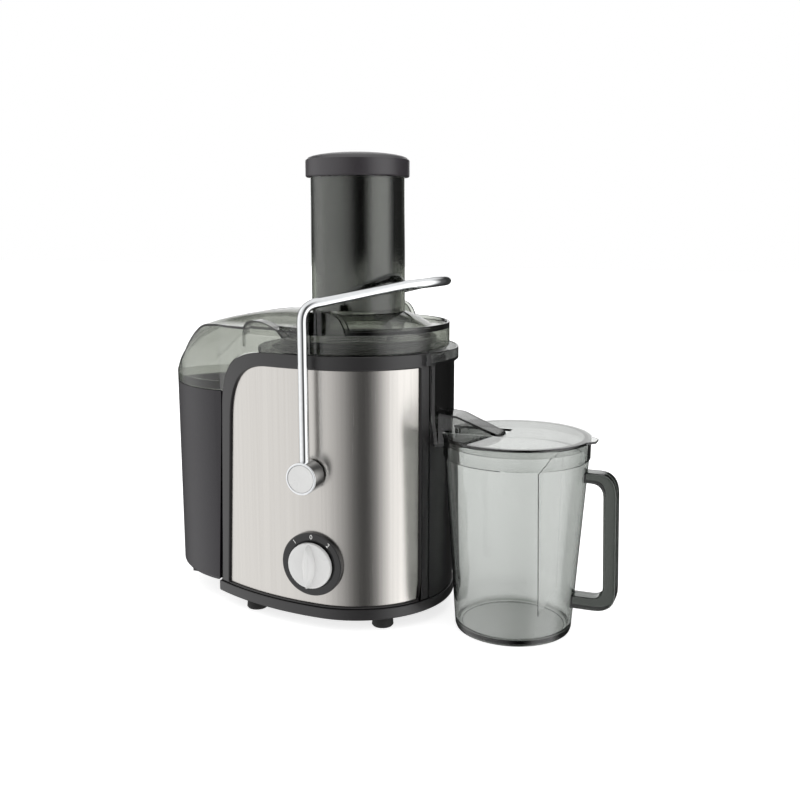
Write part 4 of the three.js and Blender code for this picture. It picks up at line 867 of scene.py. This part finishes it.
def pierced_cone(tree, given):
    wall = {"Vertices": given["Holes round"], "Side Segments": given["Rows"], "Depth": given["Height"]}
    wall["Radius Top"] = given["Top radius"]
    wall["Radius Bottom"] = given["Foot radius"]
    cone = add_node(tree, "GeometryNodeMeshCone", wall, fill_type="NONE")
    cells = add_node(tree, "GeometryNodeExtrudeMesh", {0: cone.outputs[0], "Offset Scale": 0.0})
    inner = {0: cells.outputs[0], 1: cells.outputs["Top"], "Scale": given["Open share"]}
    shrunk = add_node(tree, "GeometryNodeScaleElements", inner)
    holes = {0: shrunk.outputs[0], 1: cells.outputs["Top"]}
    open_wall = add_node(tree, "GeometryNodeDeleteGeometry", holes, domain="FACE")
    merged = add_node(tree, "GeometryNodeMergeByDistance", {0: open_wall.outputs[0], "Distance": 1e-6})
    up = {0: merged.outputs[0], "Translation": spot(0, 0, mesh_low.z + 0.3)}
    return add_node(tree, "GeometryNodeTransform", up)


sieve_sizes = {
    "Holes round": 150,
    "Rows": 16,
    "Height": (mesh_high.z - mesh_low.z - 0.6) * MM,
    "Top radius": MESH_TOP_R * MM,
    "Foot radius": MESH_FOOT_R * MM,
    "Open share": 0.55,
}
sieve = bpy.data.objects.new("sieve", bpy.data.meshes.new("sieve"))
bpy.context.scene.collection.objects.link(sieve)
grown(sieve, geometry_tree("pierced_cone", sieve_sizes, pierced_cone, mesh_steel), sieve_sizes)
sheet = sieve.modifiers.new("sheet", "SOLIDIFY")
sheet.thickness = 0.5 * MM
sheet.offset = 0
settle(sieve)
finished(sieve, "sieve_cone", "rotor", mesh_steel, ["filter_mesh"])

# ---------------------------------------------------------------- pusher
# Hollow black pusher with a domed cap that rests on the chute.
# Polished black SAN: deep black with clear reflections. Its index is set above the 1.57 of SAN, so
# that it still shows a highlight behind the smoke of the chute.
pusher_black = moulded_plastic("black_san_polished", "0c0c0d", "111112", 0.06, grain=4, depth=0.004, ior=2.1)
# The cap is moulded apart, in satin black ABS.
cap_abs = moulded_plastic("black_abs_satin_cap", "2a272a", "312e32", 0.34)
CHUTE_R = 41.5
chute_low, chute_high = limits("pusher_body")
tube_r = chute_high.y
tube = [(0, chute_low.z), (tube_r, chute_low.z), (tube_r, chute_high.z), (tube_r - 2.2, chute_high.z)]
tube += [(tube_r - 2.2, chute_low.z + 2.2), (0, chute_low.z + 2.2)]
pusher = turned(rounded(tube, 1.5, ends=False), sides=128)
finished(pusher, "pusher_tube", "pusher", pusher_black, ["pusher_body"])
cap_low, cap_high = limits("pusher_cap")
cap_r = cap_high.y
seat_z = chute_high.z + 2 * GAP
brim_z = seat_z + 15
dome = [(cap_r - 1.2, brim_z)]
for r in (0.97, 0.9, 0.8, 0.65, 0.5, 0.3):
    dome.append((r * (cap_r - 1.2), brim_z + (cap_high.z - brim_z) * (1 - r * r) ** 0.5))
cap_line = [(0, cap_low.z), (tube_r - 2.5, cap_low.z), (tube_r - 2.5, seat_z), (cap_r - 0.8, seat_z)]
cap_line += [(cap_r, seat_z + 1), (cap_r, brim_z - 1.4), (cap_r - 0.4, brim_z - 0.4)] + dome
cap = turned(cap_line + [(0, cap_high.z)], sides=128)
finished(cap, "pusher_domed_cap", "pusher", cap_abs, ["pusher_cap"])


# ---------------------------------------------------------------- lid
# Smoke-tinted SAN, clear and polished: cover over the pulp container, ring and feed chute in one.
smoke_lid = smoke_clear("smoke_san_clear_lid", "b4b8ae", 520, 0.05)
LID_WALL = 2.2
LID_R = BODY_R - 4.2
LID_FOOT_Z = RIM_TOP_Z + GAP
CREST_Z = DECK_Z + 43
EDGE_Z = DECK_Z + 30
CONE_FOOT_R = LID_R - 15.8
CONE_TOP_Z = CREST_Z - 1
CHUTE_TOP_Z = chute_high.z + GAP
COVER_RIGHT = -6
bin_low, bin_high = limits("pulp_container")
BIN_LEFT = -bin_low.x
BIN_HALF_W = bin_high.y
BIN_TOP_Z = bin_high.z


def bin_plan(inset, flat_x, steps=64):
    """Plan of the pulp container: half of a soft oval, from its flat side to its nose."""
    long = BIN_LEFT - BODY_LEFT - inset
    half = BIN_HALF_W - inset
    softness = 1.25    # 1 is an ellipse; more gives a slimmer nose
    points = [(flat_x, half)]
    for i in range(steps + 1):
        a = math.pi * i / steps - math.pi / 2
        out = max(0, math.cos(a)) ** softness
        across = math.copysign(abs(math.sin(a)) ** softness, math.sin(a))
        points.append((-long * out - BODY_LEFT, -half * across))
    return points + [(flat_x, -half)]


def curve_height(points, at):
    """Height of a line of points, which run one way across, at a place across."""
    for (a, low), (b, high) in zip(points, points[1:]):
        if min(a, b) <= at <= max(a, b) and a != b:
            return low + (high - low) * (at - a) / (b - a)
    return points[0][1] if abs(at - points[0][0]) < abs(at - points[-1][0]) else points[-1][1]


OVAL = 1.6    # 2 is an ellipse; less follows the container's slimmer nose


def cover_top(inset, low):
    """Everything under the cover's top, which falls to the nose and rolls over to the front and back."""
    top, edge, half = CREST_Z - inset, EDGE_Z - inset, BODY_R - 24
    nose = inset - BIN_LEFT
    long, wide = BIN_LEFT - BODY_LEFT - inset, BIN_HALF_W - inset
    side = [(COVER_RIGHT + 1, top), (4 - CONE_FOOT_R, top - 0.5)]
    crest_pull, nose_pull = (36 - BIN_LEFT, top - 9), (3 + nose, top - 36)
    side += bezier(side[-1], crest_pull, nose_pull, (nose, BIN_TOP_Z + 6), 60)
    crown = bezier((0, top), (half - 32, top), (half - 26, edge + 3), (half, edge), 30)
    crown = [(0, top)] + crown + [(FAR, edge)]
    blend = 1.5    # how softly the two curves meet
    columns, rows, crowding = 90, 72, 1.6    # the columns stand closer together towards the nose
    xs = [nose - 1 + (COVER_RIGHT - nose) * (i / columns) ** crowding for i in range(columns + 1)]
    ys = [-BODY_R + 2 * BODY_R * i / rows for i in range(rows + 1)]
    work = bmesh.new()
    sheet = []
    for x in xs:
        row = []
        for y in ys:
            falls, rolls = curve_height(side, max(x, nose)), curve_height(crown, abs(y))
            out = min(1, max(0, -x - BODY_LEFT) / long)
            if out:
                # over the nose the top falls by the way out across the oval, not just to the left
                oval = min(1, (out**OVAL + min(1, abs(y) / wide) ** OVAL) ** (1 / OVAL))
                share = min(1, out / 0.9)
                reach = out + (oval - out) * share * share * (3 - 2 * share)
                falls = curve_height(side, max(-BODY_LEFT - long * reach, nose))
            soft = -blend * math.log(math.exp((top - falls) / blend) + math.exp((top - rolls) / blend))
            row.append(work.verts.new(spot(x, y, max(low + 1, top + min(soft + blend * math.log(2), 0)))))
        sheet.append(row)
    foot = [[work.verts.new(spot(x, y, low)) for y in ys] for x in xs]
    last_x, last_y = len(xs) - 1, len(ys) - 1
    for i in range(last_x):
        for j in range(last_y):
            work.faces.new((sheet[i][j], sheet[i + 1][j], sheet[i + 1][j + 1], sheet[i][j + 1]))
            work.faces.new((foot[i][j], foot[i][j + 1], foot[i + 1][j + 1], foot[i + 1][j]))
        for j in (0, last_y):
            work.faces.new((sheet[i][j], sheet[i + 1][j], foot[i + 1][j], foot[i][j]))
    for j in range(last_y):
        for i in (0, last_x):
            work.faces.new((sheet[i][j], sheet[i][j + 1], foot[i][j + 1], foot[i][j]))
    return solid_of(work)


def cover_solid(inset, low=BIN_TOP_Z + GAP):
    """The pulp cover as a full solid: its plan crossed with what lies under its top."""
    plan = prism(body_plan(1.5 + inset), "Z", low, FAR)
    shaped(plan, "cross", block(4 - BODY_LEFT, COVER_RIGHT - inset, -FAR, FAR, low - 1, FAR + 1))
    shaped(plan, "join", prism(bin_plan(inset, 5 - BODY_LEFT), "Z", low, FAR))
    return shaped(plan, "cross", cover_top(inset, low - 1))


under = prism(trim_outline(LID_FOOT_Z - TRIM_TOP_Z, 0, FAR), "Y", -FAR, FAR)
shaped(under, "cut", block(-FAR, -BODY_LEFT_TOP - 1.6, -FAR, FAR, -1, FAR))
ring_out = [(0, LID_FOOT_Z), (LID_R, LID_FOOT_Z), (LID_R, DECK_Z + 33), (LID_R - LID_WALL, DECK_Z + 33)]
ring_out += [(LID_R - LID_WALL - 1, EDGE_Z), (CONE_FOOT_R, EDGE_Z), (CONE_FOOT_R - 12, CONE_TOP_Z - 4.5)]
ring_out = rounded(ring_out, 0.7, 3, False)[:-1] + [(CONE_FOOT_R - 12, CONE_TOP_Z - 4.5)]
ring_out += [(CHUTE_R, CONE_TOP_Z), (0, CONE_TOP_Z)]
ring_in = [(0, LID_FOOT_Z - 1), (LID_R - LID_WALL, LID_FOOT_Z - 1), (LID_R - LID_WALL, EDGE_Z - LID_WALL)]
ring_in += [(CONE_FOOT_R - 1, EDGE_Z - LID_WALL), (CONE_FOOT_R - 13, CONE_TOP_Z - 4.5 - LID_WALL)]
ring_in += [(CHUTE_R - 2, CONE_TOP_Z - LID_WALL), (0, CONE_TOP_Z - LID_WALL)]
lid = shaped(cover_solid(0), "cut", under)
shaped(lid, "join", turned(ring_out, sides=128))
band_top = BIN_TOP_Z + 8    # thicker band that overlaps the container
inner = shaped(cover_solid(LID_WALL), "cut", block(-FAR, 5 - BODY_LEFT, -FAR, FAR, 0, band_top))
shaped(lid, "cut", inner, cover_solid(LID_WALL + 2, BIN_TOP_Z - 5), turned(ring_in, sides=128))


def in_front_wall(outline, skin, thickness):
    """An (x, z) outline as a plate in the cover's front wall, so deep under the wall's surface."""
    plate = prism(outline, "Y", -FAR, 0)
    shaped(plate, "cross", prism(body_plan(1.5 + skin), "Z", 0, FAR))
    return shaped(plate, "cut", prism(body_plan(1.5 + skin + thickness), "Z", -1, FAR + 1))


def hood_outline(inset):
    """The raised stretch of the cover's front edge: steep at the left, falling slowly to the right."""
    start = (-77 + inset, EDGE_Z - 6)
    end = (-32 - 2 * inset, EDGE_Z - 6)
    peak = EDGE_Z + 8 - inset
    line = [start, (start[0], EDGE_Z - inset)] + bezier(
        (start[0], EDGE_Z - inset), (start[0] + 3, peak), (start[0] + 12, peak), (start[0] + 20, peak - 1), 12
    )
    return line + bezier(line[-1], (start[0] + 30, peak - 3), (end[0] - 5, EDGE_Z), end, 12)


HOOD_DEEP = 12
shaped(lid, "join", in_front_wall(hood_outline(0), 0, HOOD_DEEP))
shaped(lid, "cut", in_front_wall(hood_outline(1.6), 1.6, HOOD_DEEP - 3.2))
shaped(lid, "join", in_front_wall([(-78, 242), (-76.8, 242), (-76.8, EDGE_Z - 2), (-78, EDGE_Z - 2)], 0.2, 5))
shaped(lid, "join", rod(CHUTE_R, EDGE_Z - 4, CHUTE_TOP_Z, sides=128))


def lug(side):
    """Block by the chute's foot that the bail bears on, with two curved ribs."""
    top, foot = TOP_Z - ROD_R - 1.6, EDGE_Z - 2
    near, far = sorted((side * (BODY_R + 2), side * (BODY_R - 16)))
    body = block(CONTROL_X - 5, CONTROL_X + 13, near, far, foot, top)
    for y in (BODY_R - 2, BODY_R - 11):
        line = [(CONTROL_X + 12, foot), (CONTROL_X + 32, foot)]
        pulls = (CONTROL_X + 29, top - 5), (CONTROL_X + 23, top - 1)
        line += bezier(line[-1], *pulls, (CONTROL_X + 12, top), 12)
        start, end = sorted((side * y, side * (y - 2.4)))
        shaped(body, "join", prism(line, "Y", start, end))
    return shaped(body, "cut", rod(LID_R - 14, 0, FAR, sides=128))


shaped(lid, "join", lug(-1), lug(1))
shaped(lid, "cut", rod(CHUTE_R - LID_WALL, EDGE_Z - 5, CHUTE_TOP_Z + 1, sides=128))
finished(lid, "smoke_lid_and_chute", "motor_unit", smoke_lid, ["lid"], 30)

# ---------------------------------------------------------------- pulp container
# Dark grey ABS bucket with a soft oval nose, moulded with a light satin finish.
container_abs = moulded_plastic("dark_grey_abs_satin", "1a181c", "201d22", 0.4, ior=1.46)
BIN_FOOT_Z = bin_low.z
BIN_WALL = 2.4


def bin_right(inset, z):
    """The wall that faces the housing leans with it."""
    lean = min(1, (z - BIN_FOOT_Z) / (SHOULDER_Z - BIN_FOOT_Z))
    return -(BODY_LEFT + (BODY_LEFT_TOP - BODY_LEFT) * lean) - 1.5 - inset


def bin_ring(inset, z):
    nose = [point for point in bin_plan(inset, 0)[1:-1]]
    right = bin_right(inset, z)
    side = BIN_HALF_W - inset
    ring = [(min(x, right), y) for x, y in nose]
    return [(right, side, z)] + [(x, y, z) for x, y in ring] + [(right, -side, z)]


corner_rows = [(4 * (1 - math.sin(a)), BIN_FOOT_Z + 4 * (1 - math.cos(a))) for a in (0.35, 0.7, 1.05, 1.4)]
bucket_rows = [(4, BIN_FOOT_Z)] + corner_rows + [(0, BIN_FOOT_Z + 4)]
bucket_rows += [(0, BIN_FOOT_Z + (BIN_TOP_Z - BIN_FOOT_Z) * i / 8) for i in range(1, 8)]
bucket_rows += [(0, BIN_TOP_Z - 0.6), (0.6, BIN_TOP_Z), (BIN_WALL - 0.6, BIN_TOP_Z)]
bucket_rows += [(BIN_WALL, BIN_TOP_Z - 0.6), (BIN_WALL, BIN_FOOT_Z + 8), (BIN_WALL + 4, BIN_FOOT_Z + BIN_WALL)]
bucket = loft([bin_ring(inset, z) for inset, z in bucket_rows])
finished(bucket, "pulp_bucket", "pulp_bin", container_abs, ["pulp_container"])

# ---------------------------------------------------------------- juice jug
# Smoke-tinted SAN jug with its handle moulded on, a plate that holds the froth back, and a lid.
smoke_jug = smoke_clear("smoke_san_clear_jug", "b9bdb9", 380, 0.02)
# The plate is the same SAN, hardly tinted, with a low step in brightness at its edges.
thin_clear = smoke_clear("clear_san_plate", "e6e9e6", 40, 0.02)
jug_high = limits("juice_jug")[1]
JUG_H = jug_high.z
JUG_R = 62.4
JUG_FOOT_R = 50.2
JUG_WALL = 2.2
HANDLE_X = jug_high.x
HANDLE_OUT = 27.1    # outside of the handle beyond the rim
JUG_X = HANDLE_X - HANDLE_OUT - JUG_R
NOTCH_HALF = 17
centre = (JUG_X, SPOUT_Y)


def jug_radius(z):
    return JUG_FOOT_R + (JUG_R - JUG_FOOT_R) * z / JUG_H


band = JUG_H - 16.5
outer = [(0, 1.5), (JUG_FOOT_R - 6, 1.5), (JUG_FOOT_R - 5, 0), (JUG_FOOT_R - 2.5, 0), (JUG_FOOT_R - 0.6, 0.8)]
outer += [(JUG_FOOT_R + 0.2, 3), (jug_radius(band), band), (jug_radius(band) + 1, band + 1)]
outer += [(JUG_R, JUG_H - 0.5), (JUG_R - 0.5, JUG_H), (0, JUG_H)]
inner = [(0, 4.5), (jug_radius(4) - JUG_WALL - 5, 4.5), (jug_radius(5) - JUG_WALL - 2, 5.4)]
inner += [(jug_radius(9) - JUG_WALL, 9), (JUG_R - JUG_WALL, JUG_H), (JUG_R - JUG_WALL, JUG_H + 1)]
inner += [(0, JUG_H + 1)]
HANDLE_TOP_Z = JUG_H - 24.5
HANDLE_FOOT_Z = 25
HANDLE_T = 11
x_top, x_foot = JUG_X + jug_radius(HANDLE_TOP_Z) - 6, JUG_X + jug_radius(HANDLE_FOOT_Z) - 6
outside = [(x_foot, HANDLE_FOOT_Z), (HANDLE_X, HANDLE_FOOT_Z), (HANDLE_X - 3, HANDLE_TOP_Z)]
outside += [(x_top, HANDLE_TOP_Z)]
inside = [(x_top, HANDLE_TOP_Z - HANDLE_T + 2), (HANDLE_X - 3 - HANDLE_T, HANDLE_TOP_Z - HANDLE_T + 2)]
inside += [(HANDLE_X - HANDLE_T, HANDLE_FOOT_Z + HANDLE_T), (x_foot, HANDLE_FOOT_Z + HANDLE_T)]
HANDLE_BEND = 19
INNER_BEND = 11
grip = rounded(outside, HANDLE_BEND, 8, False) + rounded(inside, INNER_BEND, 6, False)
handle = softened(prism(grip, "Y", SPOUT_Y - 8.5, SPOUT_Y + 8.5), 2.2, 3, 60)
shaped(handle, "cut", rod(JUG_FOOT_R - 2, -1, JUG_H + 1, centre))
jug = shaped(turned(outer, centre, sides=144), "join", handle)
shaped(jug, "cut", turned(inner, centre, sides=144))
notch_foot = WELL_Z - 11.5
shaped(
    jug,
    "cut",
    block(JUG_X - JUG_R - 5, JUG_X - 20, SPOUT_Y - NOTCH_HALF, SPOUT_Y + NOTCH_HALF, notch_foot, JUG_H + 5),
)
finished(jug, "jug_with_handle", "jug", smoke_jug, ["juice_jug"])

plate_low, plate_high = limits("froth_separator")
plate_x = plate_low.x
plate_half = [(jug_radius(z) - JUG_WALL - RUN) ** 2 - 32**2 for z in (plate_low.z, plate_high.z)]
low_half, high_half = (value**0.5 for value in plate_half)
plate_line = [(SPOUT_Y - low_half, plate_low.z), (SPOUT_Y + low_half, plate_low.z)]
plate_line += [(SPOUT_Y + high_half, plate_high.z), (SPOUT_Y - high_half, plate_high.z)]
plate = softened(prism(plate_line, "X", plate_x, plate_x + 0.9), 0.3)
finished(plate, "froth_plate", "jug", thin_clear, ["froth_separator"])

lid_z = JUG_H + GAP
lid_t = 2
edge_r = JUG_R + 0.8
plug_r = jug_radius(JUG_H - 6) - JUG_WALL - RUN
cover = [(0, lid_z), (plug_r - 2, lid_z), (plug_r - 2, lid_z - 6), (plug_r, lid_z - 6), (plug_r, lid_z)]
cover += [(edge_r, lid_z), (edge_r, lid_z + lid_t), (0, lid_z + lid_t)]
jug_lid = turned(rounded(cover, 0.5, 2, False), centre, sides=144)
tab = [(edge_r - 3, -14), (edge_r + 5, -6), (edge_r + 5, 6), (edge_r - 3, 14)]
shaped(jug_lid, "join", prism([(JUG_X + x, SPOUT_Y + y) for x, y in tab], "Z", lid_z, lid_z + lid_t))
notch_tip = TIP + 4
shaped(
    jug_lid,
    "cut",
    block(JUG_X - edge_r - 5, notch_tip, SPOUT_Y - NOTCH_HALF, SPOUT_Y + NOTCH_HALF, lid_z - 20, lid_z + 20),
)
finished(jug_lid, "jug_cover_plate", "jug_cover", smoke_jug, ["jug_lid"])
